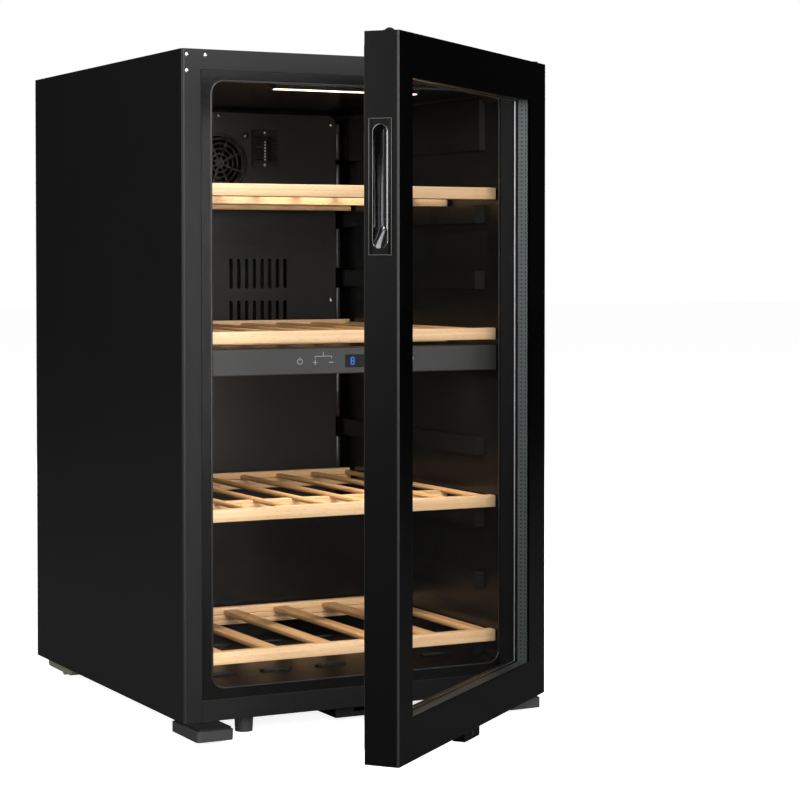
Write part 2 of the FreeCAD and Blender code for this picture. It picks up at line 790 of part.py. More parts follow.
def upper_hinge_pin():
    """Round pin riveted in the upper arm and reaching down in the door's bush."""
    low = door_top + fit + 0.3
    return rod(pin_radius, pin_x, pin_y, door_top - pin_reach, low - door_top + pin_reach)


def hinge_screws():
    """Three low-headed screws of the upper hinge."""
    face = hinge_plate - 0.5
    screws = []
    for x, z in hinge_hole_points():
        head = rod(4.0, x, -face - 1.0, z, 1.0, "y")
        shank = rod(2.0, x, -face, z, face + sheet + 1.0, "y")
        screws.append(head.fuse(shank).removeSplitter())
    return Part.makeCompound(screws)


def hole_plugs():
    """Three bright domed screws in the unused hinge holes at the left corner."""
    screws = []
    for x, z in hinge_hole_points():
        dome = Part.makeSphere(5.0, Vector(-x, 3.4, z))
        dome = dome.common(block(-x - 6, -x + 6, -6, 0, z - 6, z + 6))
        screws.append(dome.fuse(rod(2.8, -x, -0.1, z, sheet + 1.2, "y")).removeSplitter())
    return Part.makeCompound(screws)


def foot_block():
    """Moulded block under the right front corner, reaching out under the door."""
    inner = half - foot_block_width
    low = base - hinge_plate - foot_block_height
    high = base - hinge_plate
    body = block(inner, half - 0.5, -foot_block_front, foot_block_back, low, high)
    body = rounded(body, 6.0, "z", lambda p: p.y < 0)
    pocket = block(inner + 6, half - 6.5, 6, foot_block_back + 1, low + 3, high - 4)
    return body.cut(pocket)


def foot_plate():
    """Steel plate on the block, under the cabinet and out to the hinge axis."""
    inner = half - foot_block_width + 2
    high = base
    plate = block(inner, half - 4, -foot_block_front + 3, foot_block_back, high - hinge_plate, high)
    return rounded(plate, 5.0, "z", lambda p: p.y < 0)


def lower_hinge_plate():
    """The right plate with the bore that takes the lower hinge pin."""
    return foot_plate().cut(rod(pin_radius, pin_x, pin_y, base - 10, 20))


def left_foot_plate():
    """The left plate, with a raised slot where the hinge can be moved to."""
    plate = mirrored(foot_plate())
    slot = block(-pin_x - 4, -pin_x + 16, pin_y - 3.5, pin_y + 3.5, base - 10, base)
    return plate.cut(rounded(slot, 3.4, "z"))


def lower_hinge_pin():
    """Round pin that carries the door, with a collar under the bush."""
    low = base - hinge_plate
    pin = rod(pin_radius, pin_x, pin_y, low, door_bottom + pin_reach - low)
    collar_top = door_bottom - 1.5 - 0.05
    return pin.fuse(rod(bush_radius, pin_x, pin_y, base, collar_top - base)).removeSplitter()


def levelling_foot(x, y):
    """Ribbed foot on a threaded stud; turning it raises the corner."""
    height = base - 1.0
    body = Part.makeCone(level_radius - 1.2, level_radius, height, Vector(x, y, 0), Vector(0, 0, 1))
    ribs = []
    for number in range(20):
        turn = 2 * math.pi * number / 20
        rx = x + (level_radius - 0.2) * math.cos(turn)
        ry = y + (level_radius - 0.2) * math.sin(turn)
        ribs.append(rod(1.0, rx, ry, 3.0, height - 4.0))
    stud = rod(stud_radius, x, y, height - 1, stud_reach)
    return cut_all(body, ribs).fuse(stud).removeSplitter()


def roller_point():
    """Centre of the right rear roller."""
    return half - roller_side, roller_setback, roller_radius


def rear_foot():
    """Rear glide under the right corner, forked round its roller."""
    x, y, z = roller_point()
    outer = half - glide_side
    inner = outer - glide_width
    body = block(inner, outer, glide_start, body_depth - sheet, base - glide_drop, base + sheet)
    body = rounded(body, 7.0, "x", lambda p: p.z < base - glide_drop + 1)
    reach = roller_radius + 3
    gap = roller_width / 2 + 0.6
    slot = block(x - gap, x + gap, y - reach, y + reach, 0, base)
    axle = rod(3.0, inner, y, z, glide_width, "x")
    return body.cut(slot).fuse(axle).removeSplitter()


def rear_roller():
    """Plastic roller turning on the glide's axle."""
    x, y, z = roller_point()
    wheel = rod(roller_radius, x - roller_width / 2, y, z, roller_width, "x")
    return wheel.cut(rod(3.0 + pin_play, x - roller_width, y, z, 2 * roller_width, "x"))


# ---- cooling parts in the niche ----
compressor_x = 70.0
compressor_y = body_depth - 100.0


def compressor_tray():
    """Cross rail that carries the compressor between the cabinet's sides."""
    side = half - sheet
    plate = block(-side, side, niche_front + 30, body_depth - 4, base + sheet, base + sheet + 2)
    lip = block(-side, side, body_depth - 6, body_depth - 4, base + sheet, base + 14)
    return plate.fuse(lip).removeSplitter()


def compressor_mounts():
    """Rubber feet between the tray and the compressor."""
    mounts = []
    for x in (-70, 70):
        for y in (-50, 50):
            mounts.append(rod(9.0, compressor_x + x, compressor_y + y, base + sheet + 2, 12.0))
    return Part.makeCompound(mounts)


def compressor():
    """Welded compressor shell: two domed halves on a foot plate."""
    low = base + sheet + 14
    plate = block(compressor_x - 82, compressor_x + 82, compressor_y - 60, compressor_y + 60, low, low + 3)
    plate = rounded(plate, 10.0, "z")
    can = rod(66.0, compressor_x, compressor_y, low + 3, 118)
    edges = [edge for edge in can.Edges if isinstance(edge.Curve, Part.Circle)]
    can = can.makeFillet(26.0, edges)
    seam_ring = rod(69.0, compressor_x, compressor_y, low + 58, 5)
    relay = block(compressor_x - 96, compressor_x - 58, compressor_y - 24, compressor_y + 24, low + 30, low + 92)
    return fused([plate, can, seam_ring, relay])


def condenser_coil():
    """Finned tube condenser beside its fan."""
    parts = []
    for number in range(14):
        y = niche_front + 42 + number * 9.0
        parts.append(block(-268, -212, y, y + 0.8, base + 18, base + 138))
    for column in range(2):
        for row in range(3):
            start = niche_front + 36
            x = -252 + column * 26
            parts.append(rod(4.0, x, start, base + 40 + row * 38, 130, "y"))
    return fused(parts)


condenser_fan_x = -140.0
condenser_fan_y = body_depth - 50.0
condenser_fan_radius = 52.0
condenser_fan_depth = 26.0


def drip_tray():
    """Evaporation tray over the compressor's warm shell."""
    low = base + 152
    tray = block(-30, 190, compressor_y - 60, compressor_y + 62, low, low + 18)
    tray = rounded(tray, 8.0, "z")
    hollow = block(-28, 188, compressor_y - 58, compressor_y + 60, low + 2, low + 19)
    return tray.cut(rounded(hollow, 6.0, "z"))


def bent_tube(points, radius, bend):
    """A round tube along straight runs joined by arcs."""
    path = []
    last = Vector(*points[0])
    for number in range(1, len(points) - 1):
        here = Vector(*points[number])
        before = (Vector(*points[number - 1]) - here).normalize()
        after = (Vector(*points[number + 1]) - here).normalize()
        turn = math.pi - before.getAngle(after)
        reach = bend * math.tan(turn / 2)
        start = here + before * reach
        end = here + after * reach
        inward = (before + after).normalize()
        middle = here + inward * (bend / math.cos(turn / 2) - bend)
        path.append(Part.LineSegment(last, start).toShape())
        path.append(Part.Arc(start, middle, end).toShape())
        last = end
    path.append(Part.LineSegment(last, Vector(*points[-1])).toShape())
    wire = Part.Wire(path)
    way = (Vector(*points[1]) - Vector(*points[0])).normalize()
    ring = Part.Wire(Part.Circle(Vector(*points[0]), way, radius).toShape())
    return wire.makePipeShell([ring], True, False)


def refrigerant_lines():
    """Suction and discharge tubes, and the filter drier."""
    low = base + sheet + 14
    y = compressor_y - 66
    suction = bent_tube([(compressor_x + 20, y + 1.9, low + 70), (compressor_x + 20, y - 16, low + 70),
                         (compressor_x + 160, y - 16, low + 70), (compressor_x + 160, y - 16, niche_roof - 3)], 4.0, 12.0)
    discharge = bent_tube([(compressor_x - 20, y + 2.2, low + 50), (compressor_x - 20, y - 16, low + 50),
                           (-206, y - 16, low + 50)], 3.0, 12.0)
    drier = rod(10.0, -60, niche_front + 18, base + 30, 90)
    return Part.makeCompound([suction, discharge, drier])


def electronics_box():
    """Cover of the power board, hung in the niche."""
    case = block(215, 285, body_depth - 110, body_depth - 16, base + 70, base + 170)
    return rounded(case, 4.0, "y")


def mains_inlet():
    """Three-pin appliance inlet in the electronics box."""
    x, z = 250.0, base + 105.0
    back = body_depth - 16
    flange = block(x - 25, x + 25, back, back + 3, z - 16, z + 16)
    collar = block(x - 14, x + 14, back, back + 8, z - 10, z + 10)
    well = block(x - 12, x + 12, back + 1, back + 9, z - 8, z + 8)
    pins = [block(x + p - 1, x + p + 1, back + 1, back + 7, z - 3, z + 3) for p in (-7, 0, 7)]
    shell = flange.fuse(collar).removeSplitter().cut(well)
    return fused([shell] + pins)


def build():
    """Every node by name."""
    x, y = level_points()[0]
    nodes = {
        "cabinet_wrap": cabinet_wrap(),
        "bottom_front_rail": bottom_front_rail(),
        "base_pan": base_pan(),
        "back_panel": back_panel(),
        "inner_liner": inner_liner(),
        "foam_insulation": foam_insulation(),
        "upper_duct_panel": upper_duct_panel(),
        "lower_duct_panel": lower_duct_panel(),
        "fan_grille": fan_grille(),
        "circulation_fan_frame": fan_frame(0, duct_face + duct_sheet + fit, fan_z, 42.0, 25.0),
        "circulation_fan_rotor": fan_rotor(0, duct_face + duct_sheet + fit, fan_z, 42.0, 25.0, 7),
        "sensor_cover": sensor_cover(),
        "panel_screws": panel_screws(),
        "led_housing": led_housing(),
        "led_lens": led_lens(),
        "control_panel": control_panel(),
        "display_window": display_window(),
        "zone_divider": zone_divider(),
        "upper_evaporator": upper_evaporator(),
        "lower_evaporator": lower_evaporator(),
        "compressor": compressor(),
        "compressor_tray": compressor_tray(),
        "compressor_mounts": compressor_mounts(),
        "condenser_coil": condenser_coil(),
        "condenser_fan_frame": fan_frame(condenser_fan_x, condenser_fan_y, base + 80, condenser_fan_radius,
                                         condenser_fan_depth),
        "condenser_fan_rotor": fan_rotor(condenser_fan_x, condenser_fan_y, base + 80, condenser_fan_radius,
                                         condenser_fan_depth, 5),
        "drip_tray": drip_tray(),
        "refrigerant_lines": refrigerant_lines(),
        "electronics_box": electronics_box(),
        "mains_inlet": mains_inlet(),
        "upper_hinge_bracket": upper_hinge_bracket(),
        "upper_hinge_pin": upper_hinge_pin(),
        "hinge_screws": hinge_screws(),
        "hole_plugs": hole_plugs(),
        "lower_hinge_plate": lower_hinge_plate(),
        "lower_hinge_pin": lower_hinge_pin(),
        "right_foot_block": foot_block(),
        "left_foot_block": mirrored(foot_block()),
        "left_foot_plate": left_foot_plate(),
        "lock_catch": lock_catch(),
        "rear_feet": Part.makeCompound([rear_foot(), mirrored(rear_foot())]),
        "rear_roller_right": rear_roller(),
        "rear_roller_left": mirrored(rear_roller()),
        "levelling_foot_left": levelling_foot(x, y),
        "levelling_foot_right": levelling_foot(-x, y),
        "door_frame": opened(door_frame()),
        "front_glass": opened(front_glass()),
        "rear_glass": opened(rear_glass()),
        "glass_spacer": opened(glass_spacer()),
        "door_gasket": opened(door_gasket()),
        "handle_cup": opened(handle_cup()),
        "handle_bezel": opened(handle_bezel()),
        "door_plugs": opened(door_plugs()),
        "hinge_bushes": opened(hinge_bushes()),
        "lock_housing": opened(lock_housing()),
        "lock_barrel": opened(lock_barrel()),
    }
    for number, (level, depth, count, width, middle_bar) in enumerate(shelf_levels(), 1):
        rack = shelf_rack(level, depth, count, width, middle_bar)
        nodes["shelf_%d" % number] = Part.makeCompound([shelf_front(level)] + rack.Solids)
    return nodes


os.makedirs("parts", exist_ok=True)
for name, shape in build().items():
    if not shape.isValid():
        print("not valid:", name)
    shape.exportStep("parts/%s.step" % name)
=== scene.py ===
import json
import math
import bpy
from mathutils import Matrix, Vector


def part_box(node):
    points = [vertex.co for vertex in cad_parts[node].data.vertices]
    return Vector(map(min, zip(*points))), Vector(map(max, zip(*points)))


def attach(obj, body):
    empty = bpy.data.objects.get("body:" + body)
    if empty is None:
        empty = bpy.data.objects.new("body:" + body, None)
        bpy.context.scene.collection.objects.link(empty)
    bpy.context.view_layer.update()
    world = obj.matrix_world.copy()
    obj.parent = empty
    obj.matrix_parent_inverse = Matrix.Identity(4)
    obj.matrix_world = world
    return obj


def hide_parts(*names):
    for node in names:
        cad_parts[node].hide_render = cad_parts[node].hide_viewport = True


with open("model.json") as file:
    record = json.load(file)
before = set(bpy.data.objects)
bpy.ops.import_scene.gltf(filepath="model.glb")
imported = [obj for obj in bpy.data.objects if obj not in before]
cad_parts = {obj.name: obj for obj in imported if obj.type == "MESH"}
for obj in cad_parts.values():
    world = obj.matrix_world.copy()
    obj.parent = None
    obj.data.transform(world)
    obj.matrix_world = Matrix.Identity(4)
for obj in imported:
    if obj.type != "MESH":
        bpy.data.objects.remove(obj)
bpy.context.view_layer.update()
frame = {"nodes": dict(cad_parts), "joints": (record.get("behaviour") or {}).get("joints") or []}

# ---- Camera ----
# A long lens a little above the middle of the cabinet, turned to the left front corner and
# tipped down slightly.
bpy.ops.object.camera_add(location=(-1.5778, -3.1599, 0.7205))
camera = bpy.context.object
camera.name = "studio_camera"
camera.rotation_euler = (math.radians(88.5), 0, math.radians(-27.542))
camera.data.sensor_width = 36
camera.data.lens = 102.09
camera.data.shift_y = -0.0989
camera.data.clip_end = 60
bpy.context.scene.camera = camera

# ---- Studio ----
# White seamless paper and large soft boxes. The sides of the studio are flagged dark, so that
# only the front of the cabinet picks up light and the glass stays black.
scene = bpy.context.scene
scene.view_settings.view_transform = "Standard"
world = bpy.data.worlds.new("white_studio")
scene.world = world
world.use_nodes = True
world_nodes = world.node_tree.nodes
world_links = world.node_tree.links
backdrop = world_nodes["Background"]
backdrop.inputs["Color"].default_value = (1, 1, 1, 1)
seen_white = world_nodes.new("ShaderNodeBackground")
seen_white.inputs["Color"].default_value = (1, 1, 1, 1)
seen_white.inputs["Strength"].default_value = 1.0
light_path = world_nodes.new("ShaderNodeLightPath")
choose = world_nodes.new("ShaderNodeMixShader")
sky_way = world_nodes.new("ShaderNodeTexCoord")
sky_split = world_nodes.new("ShaderNodeSeparateXYZ")
flag = world_nodes.new("ShaderNodeMapRange")
flag.interpolation_type = "SMOOTHSTEP"
flag.inputs["From Min"].default_value = -0.85
flag.inputs["From Max"].default_value = -0.25
flag.inputs["To Min"].default_value = 0.55
flag.inputs["To Max"].default_value = 0.02
world_links.new(sky_way.outputs["Generated"], sky_split.inputs["Vector"])
world_links.new(sky_split.outputs["Y"], flag.inputs["Value"])
world_links.new(flag.outputs["Result"], backdrop.inputs["Strength"])
world_links.new(light_path.outputs["Is Camera Ray"], choose.inputs["Fac"])
world_links.new(backdrop.outputs["Background"], choose.inputs[1])
world_links.new(seen_white.outputs["Background"], choose.inputs[2])
world_links.new(choose.outputs["Shader"], world_nodes["World Output"].inputs["Surface"])


def soft_box(name, place, aim, width, height, power):
    """A rectangular soft light that faces a point."""
    bpy.ops.object.light_add(type="AREA", location=place)
    lamp = bpy.context.object
    lamp.name = name
    lamp.data.shape = "RECTANGLE"
    lamp.data.size = width
    lamp.data.size_y = height
    lamp.data.energy = power
    lamp.rotation_euler = (Vector(aim) - Vector(place)).to_track_quat("-Z", "Y").to_euler()
    return lamp


soft_box("front_soft_box", (-0.9, -4.2, 1.9), (0, 0.1, 0.5), 2.2, 1.6, 74)
soft_box("high_front_soft_box", (-0.6, -2.5, 2.5), (0, 0.2, 0.35), 1.6, 1.0, 60)
soft_box("corner_strip_box", (-2.35, -3.9, 0.85), (0.2, 0.5, 0.7), 0.5, 1.9, 26)
soft_box("right_front_box", (1.8, -4.5, 1.0), (0, 0.4, 0.6), 2.0, 1.9, 28)
soft_box("low_front_box", (-0.7, -3.4, 0.30), (0, 0.1, 0.12), 1.6, 0.4, 18)
soft_box("left_soft_box", (-4.2, -0.6, 1.6), (-0.2, 0.3, 0.6), 1.6, 2.4, 58)
soft_box("top_soft_box", (0, -0.2, 3.6), (0, 0.1, 0), 2.6, 2.6, 40)
soft_box("rear_soft_box", (1.2, 4.2, 2.0), (0, 0.6, 0.5), 2.0, 2.0, 60)
soft_box("right_soft_box", (3.4, -2.8, 1.9), (0.2, 0.2, 0.5), 1.4, 1.8, 26)

bpy.ops.mesh.primitive_plane_add(size=60, location=(0, 0, -0.0005))
floor = bpy.context.object
floor.name = "studio_floor"


# ---- Finishes ----
# Every surface has its colour, a slight variation of it, its gloss and a fine relief. The
# studio floor is white paper that stays dim for everything but the camera.
def surface(name, colour, roughness, grain, relief, metallic=0.0, clouds=0.12, specular=0.5):
    """A finish with a fine grain of a given size in metres and a slow change of tone."""
    material = bpy.data.materials.new(name)
    material.use_nodes = True
    nodes = material.node_tree.nodes
    links = material.node_tree.links
    shader = nodes["Principled BSDF"]
    shader.inputs["Metallic"].default_value = metallic
    shader.inputs["Specular IOR Level"].default_value = specular
    place = nodes.new("ShaderNodeTexCoord")
    fine = nodes.new("ShaderNodeTexNoise")
    fine.inputs["Scale"].default_value = 1.0 / grain
    fine.inputs["Detail"].default_value = 3
    links.new(place.outputs["Object"], fine.inputs["Vector"])
    slow = nodes.new("ShaderNodeTexNoise")
    slow.inputs["Scale"].default_value = 6
    slow.inputs["Detail"].default_value = 2
    links.new(place.outputs["Object"], slow.inputs["Vector"])
    tone = nodes.new("ShaderNodeMix")
    tone.data_type = "RGBA"
    dark = [channel * (1 - clouds) for channel in colour]
    light = [min(1.0, channel * (1 + clouds)) for channel in colour]
    tone.inputs["A"].default_value = (*dark, 1)
    tone.inputs["B"].default_value = (*light, 1)
    links.new(slow.outputs["Fac"], tone.inputs["Factor"])
    links.new(tone.outputs["Result"], shader.inputs["Base Color"])
    gloss = nodes.new("ShaderNodeMapRange")
    gloss.inputs["To Min"].default_value = roughness * 0.88
    gloss.inputs["To Max"].default_value = min(1.0, roughness * 1.12)
    links.new(fine.outputs["Fac"], gloss.inputs["Value"])
    links.new(gloss.outputs["Result"], shader.inputs["Roughness"])
    bump = nodes.new("ShaderNodeBump")
    bump.inputs["Strength"].default_value = relief
    bump.inputs["Distance"].default_value = grain * 0.2
    links.new(fine.outputs["Fac"], bump.inputs["Height"])
    links.new(bump.outputs["Normal"], shader.inputs["Normal"])
    return material


def dress(material, *names):
    """Gives CAD nodes a finish."""
    for name in names:
        node = frame["nodes"][name]
        node.data.materials.clear()
        node.data.materials.append(material)


paper = surface("studio_paper", (0.9, 0.9, 0.9), 0.9, 0.004, 0.02, clouds=0.0, specular=0.0)
paper_nodes = paper.node_tree.nodes
paper_links = paper.node_tree.links
paper_shader = paper_nodes["Principled BSDF"]
paper_shader.inputs["Emission Color"].default_value = (1, 1, 1, 1)
paper_shader.inputs["Emission Strength"].default_value = 0.88
dim_paper = paper_nodes.new("ShaderNodeBsdfDiffuse")
dim_paper.inputs["Color"].default_value = (0.12, 0.12, 0.12, 1)
paper_path = paper_nodes.new("ShaderNodeLightPath")
paper_choice = paper_nodes.new("ShaderNodeMixShader")
paper_links.new(paper_path.outputs["Is Camera Ray"], paper_choice.inputs["Fac"])
paper_links.new(dim_paper.outputs["BSDF"], paper_choice.inputs[1])
paper_links.new(paper_shader.outputs["BSDF"], paper_choice.inputs[2])
paper_links.new(paper_choice.outputs["Shader"], paper_nodes["Material Output"].inputs["Surface"])
floor.data.materials.append(paper)

# ---- Cabinet sheet metal ----
# Pre-painted steel: satin black with the slight pebble of a baked coat. The rear sheet and the
# front rail are the same coil; the pan and the compressor tray are bare galvanised steel.
satin_black = surface("satin_black_paint", (0.0075, 0.0075, 0.0078), 0.42, 0.0011, 0.10,
                      specular=0.36)
dress(satin_black, "cabinet_wrap", "bottom_front_rail", "back_panel", "upper_hinge_bracket",
      "left_foot_plate", "lower_hinge_plate", "lock_catch")
galvanised = surface("galvanised_steel", (0.42, 0.43, 0.44), 0.42, 0.006, 0.05, metallic=1.0,
                     clouds=0.25)
dress(galvanised, "base_pan", "compressor_tray")
bright_steel = surface("bright_steel", (0.72, 0.71, 0.69), 0.22, 0.0009, 0.05, metallic=1.0)
dress(bright_steel, "hole_plugs", "hinge_screws", "panel_screws", "upper_hinge_pin",
      "lower_hinge_pin")
lock_steel = surface("dark_zinc", (0.10, 0.10, 0.10), 0.35, 0.0009, 0.05, metallic=1.0)
dress(lock_steel, "lock_barrel")
# The foam is pale yellow; its dark grey here is painted shade for the seam between the wrap and the
# liner, where the foam shows.
foam_painted_shade = surface("foam_grey_painted_shade", (0.05, 0.048, 0.043), 0.9, 0.003, 0.4)
dress(foam_painted_shade, "foam_insulation")

# ---- Liner ----
# Black polystyrene sheet drawn over a mould in one piece, glossy, with a faint ripple where it
# cooled. The divider between the zones is a moulding with the same skin.
liner_black = surface("liner_polystyrene", (0.0055, 0.0052, 0.005), 0.24, 0.03, 0.05, specular=0.32)
dress(liner_black, "inner_liner", "zone_divider")

# ---- Rear panels ----
# Matt textured mouldings over the air ducts, with the fan guard and the sensor cover on them.
panel_black = surface("textured_black_moulding", (0.008, 0.008, 0.008), 0.40, 0.0012, 0.2)
dress(panel_black, "upper_duct_panel", "lower_duct_panel", "led_housing", "electronics_box",
      "mains_inlet", "drip_tray")
guard_black = surface("fan_guard_black", (0.0045, 0.0045, 0.005), 0.24, 0.0012, 0.08)
dress(guard_black, "fan_grille", "sensor_cover")
# The fans are black plastic, darkened to nearly nothing and with little gloss: painted shade for the
# hollows of the fan housings.
fan_painted_shade_black = surface("fan_blade_black_painted_shade", (0.0008, 0.0008, 0.0008), 0.5, 0.0012, 0.08, specular=0.12)
dress(fan_painted_shade_black, "circulation_fan_frame", "circulation_fan_rotor", "condenser_fan_frame",
      "condenser_fan_rotor")


# ---- Liner mouth ----
# The sheet rolls over at the liner's mouth into its flange, and the roll catches the light as a thin
# line all round; its grey, lighter than the liner's own sheet, adds a painted sheen to that line.
def empty_selection():
    """Leaves nothing selected, out of edit mode."""
    if bpy.context.object and bpy.context.object.mode != "OBJECT":
        bpy.ops.object.mode_set(mode="OBJECT")
    bpy.ops.object.select_all(action="DESELECT")


def settle(piece):
    """Puts a piece's place, turn and size into its mesh."""
    empty_selection()
    piece.select_set(True)
    bpy.context.view_layer.objects.active = piece
    bpy.ops.object.transform_apply(location=True, rotation=True, scale=True)


liner_low, liner_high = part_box("inner_liner")
mouth_side = 0.0163
mouth_top = 0.0153
mouth_corner = 0.020
mouth_corner_steps = 8
roll_radius = 0.0017
mouth_low = liner_low.z + mouth_side
mouth_high = liner_high.z - mouth_top
empty_selection()
bpy.ops.mesh.primitive_plane_add(size=1, location=(0, liner_low.y, (mouth_low + mouth_high) / 2),
                                 rotation=(math.radians(90), 0, 0))
mouth_roll = bpy.context.object
mouth_roll.name = "liner_mouth_roll"
mouth_roll.scale = (liner_high.x - liner_low.x - 2 * mouth_side, mouth_high - mouth_low, 1)
settle(mouth_roll)
bpy.ops.object.mode_set(mode="EDIT")
bpy.ops.mesh.select_all(action="SELECT")
bpy.ops.mesh.bevel(offset=mouth_corner, segments=mouth_corner_steps, affect="VERTICES")
bpy.ops.mesh.select_all(action="SELECT")
bpy.ops.mesh.delete(type="ONLY_FACE")
bpy.ops.object.mode_set(mode="OBJECT")
bpy.ops.object.convert(target="CURVE")
mouth_roll.data.bevel_depth = roll_radius
mouth_roll.data.bevel_resolution = 3
bpy.ops.object.convert(target="MESH")
mouth_roll = bpy.context.object
bpy.ops.object.shade_smooth()
# A lighter grey than the liner and the duct panels: painted sheen on the rolls.
roll_painted_sheen = surface("liner_roll_painted_sheen", (0.020, 0.0195, 0.019), 0.2, 0.03, 0.03)
mouth_roll.data.materials.append(roll_painted_sheen)
settle(mouth_roll)
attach(mouth_roll, "cabinet")


# ---- Liner floor pads ----
# Low glossy lozenges formed in the liner's floor, that stand a box or a bottle clear of it; each
# crown is a shallow dome, in a grey lighter than the liner it is formed in: a painted sheen.
def joined(name, pieces):
    """One piece from several."""
    empty_selection()
    for piece in pieces:
        piece.select_set(True)
    bpy.context.view_layer.objects.active = pieces[0]
    bpy.ops.object.join()
    whole = bpy.context.object
    whole.name = name
    return whole


def copied(piece, shift):
    """A copy with its own mesh, moved."""
    twin = piece.copy()
    twin.data = piece.data.copy()
    twin.data.transform(Matrix.Translation(shift))
    bpy.context.collection.objects.link(twin)
    return twin


pad_rows = (0.108, 0.228, 0.348)
pad_pitch = 0.096
pads_in_row = 5
pad_reach = (0.025, 0.0082, 0.0016)
pad_level = mouth_low + 0.0022
empty_selection()
bpy.ops.mesh.primitive_uv_sphere_add(segments=32, ring_count=12, radius=1,
                                     location=(-2 * pad_pitch, pad_rows[0], pad_level))
first_pad = bpy.context.object
first_pad.scale = pad_reach
settle(first_pad)
bpy.ops.object.shade_smooth()
pads = [first_pad]
for row, y in enumerate(pad_rows):
    for place in range(pads_in_row):
        if row or place:
            pads.append(copied(first_pad, (place * pad_pitch, y - pad_rows[0], 0)))
floor_pad_crowns = joined("floor_pad_crowns", pads)
# The crowns' lighter grey is painted sheen; the liner they are formed in is darker.
pad_painted_sheen = surface("pad_painted_sheen", (0.030, 0.029, 0.028), 0.22, 0.02, 0.03)
floor_pad_crowns.data.materials.append(pad_painted_sheen)
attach(floor_pad_crowns, "cabinet")


# ---- Duct panel edges ----
# The duct panels' long sides are rolled back to the liner between the shelf rails; the rolls
# show as bright upright lines, from their gloss and from the painted sheen of their lighter grey.
def apply_modifiers(piece):
    """Makes each modifier of a piece real."""
    empty_selection()
    piece.select_set(True)
    bpy.context.view_layer.objects.active = piece
    for modifier in list(piece.modifiers):
        bpy.ops.object.modifier_apply(modifier=modifier.name)


panel_low, panel_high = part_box("upper_duct_panel")
edge_radius = 0.0062
edge_rounding = 0.0025
edge_spans = ((0.320, 0.403), (0.437, 0.543), (0.590, 0.674), (0.708, 0.781), (0.815, 0.898),
              (0.905, 0.972))
edges = []
for side in (-1, 1):
    for bottom, top in edge_spans:
        empty_selection()
        edge_place = (side * (panel_high.x + edge_radius), panel_low.y + edge_radius,
                      (bottom + top) / 2)
        bpy.ops.mesh.primitive_cylinder_add(vertices=28, radius=edge_radius, depth=top - bottom,
                                            location=edge_place)
        edge = bpy.context.object
        settle(edge)
        round_ends = edge.modifiers.new("round_ends", "BEVEL")
        round_ends.width = edge_rounding
        round_ends.segments = 3
        round_ends.limit_method = "ANGLE"
        apply_modifiers(edge)
        bpy.ops.object.shade_smooth_by_angle(angle=math.radians(40))
        edges.append(edge)
panel_edges = joined("duct_panel_edges", edges)
panel_edges.data.materials.append(roll_painted_sheen)
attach(panel_edges, "cabinet")

# ---- Sensor cover dots ----
# A column of bright nibs down the middle of the sensor cover, between its two screws.
# The nibs take a plain near-white, with no metal in it.
nib_white = surface("near_white_nib", (0.92, 0.91, 0.88), 0.25, 0.0008, 0.04)
cover_low, cover_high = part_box("sensor_cover")
nib_radius = 0.0015
nib_pitch = 0.0052
nib_count = 7
lowest_nib = cover_low.z + 0.0135
cover_middle = (cover_low.x + cover_high.x) / 2
empty_selection()
bpy.ops.mesh.primitive_uv_sphere_add(segments=12, ring_count=8, radius=nib_radius,
                                     location=(cover_middle, cover_low.y, lowest_nib))
first_nib = bpy.context.object
first_nib.scale = (1, 0.5, 1)
settle(first_nib)
bpy.ops.object.shade_smooth()
nibs = [first_nib] + [copied(first_nib, (0, 0, step * nib_pitch)) for step in range(1, nib_count)]
sensor_cover_dots = joined("sensor_cover_dots", nibs)
sensor_cover_dots.data.materials.append(nib_white)
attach(sensor_cover_dots, "cabinet")

# ---- Light strip ----
# A frosted diffuser in a black channel under the roof, lit by a row of warm white diodes that
# show through it as soft spots.
diode_spacing = 0.0166
diffuser = bpy.data.materials.new("lit_diffuser")
diffuser.use_nodes = True
diffuser_nodes = diffuser.node_tree.nodes
diffuser_links = diffuser.node_tree.links
diffuser_shader = diffuser_nodes["Principled BSDF"]
diffuser_shader.inputs["Base Color"].default_value = (0.95, 0.92, 0.85, 1)
diffuser_shader.inputs["Roughness"].default_value = 0.5
diffuser_shader.inputs["Emission Strength"].default_value = 3.4
along = diffuser_nodes.new("ShaderNodeTexCoord")
split = diffuser_nodes.new("ShaderNodeSeparateXYZ")
diffuser_links.new(along.outputs["Object"], split.inputs["Vector"])
wave = diffuser_nodes.new("ShaderNodeMath")
wave.operation = "MULTIPLY"
wave.inputs[1].default_value = math.pi / diode_spacing
diffuser_links.new(split.outputs["X"], wave.inputs[0])
spots = diffuser_nodes.new("ShaderNodeMath")
spots.operation = "SINE"
diffuser_links.new(wave.outputs["Value"], spots.inputs[0])
spot_tone = diffuser_nodes.new("ShaderNodeMapRange")
spot_tone.inputs["From Min"].default_value = -1
diffuser_links.new(spots.outputs["Value"], spot_tone.inputs["Value"])
spot_colour = diffuser_nodes.new("ShaderNodeMix")
spot_colour.data_type = "RGBA"
spot_colour.inputs["A"].default_value = (0.85, 0.62, 0.42, 1)
spot_colour.inputs["B"].default_value = (1.0, 0.93, 0.82, 1)
diffuser_links.new(spot_tone.outputs["Result"], spot_colour.inputs["Factor"])
diffuser_links.new(spot_colour.outputs["Result"], diffuser_shader.inputs["Emission Color"])
dress(diffuser, "led_lens")
lens_low, lens_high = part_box("led_lens")
lens_middle = (lens_low + lens_high) / 2
strip_light = soft_box("strip_glow", (lens_middle.x, lens_middle.y, lens_low.z - 0.002),
                       (0, lens_middle.y + 0.05, 0.5), lens_high.x - lens_low.x, 0.012, 1.2)
strip_light.data.color = (1.0, 0.86, 0.7)


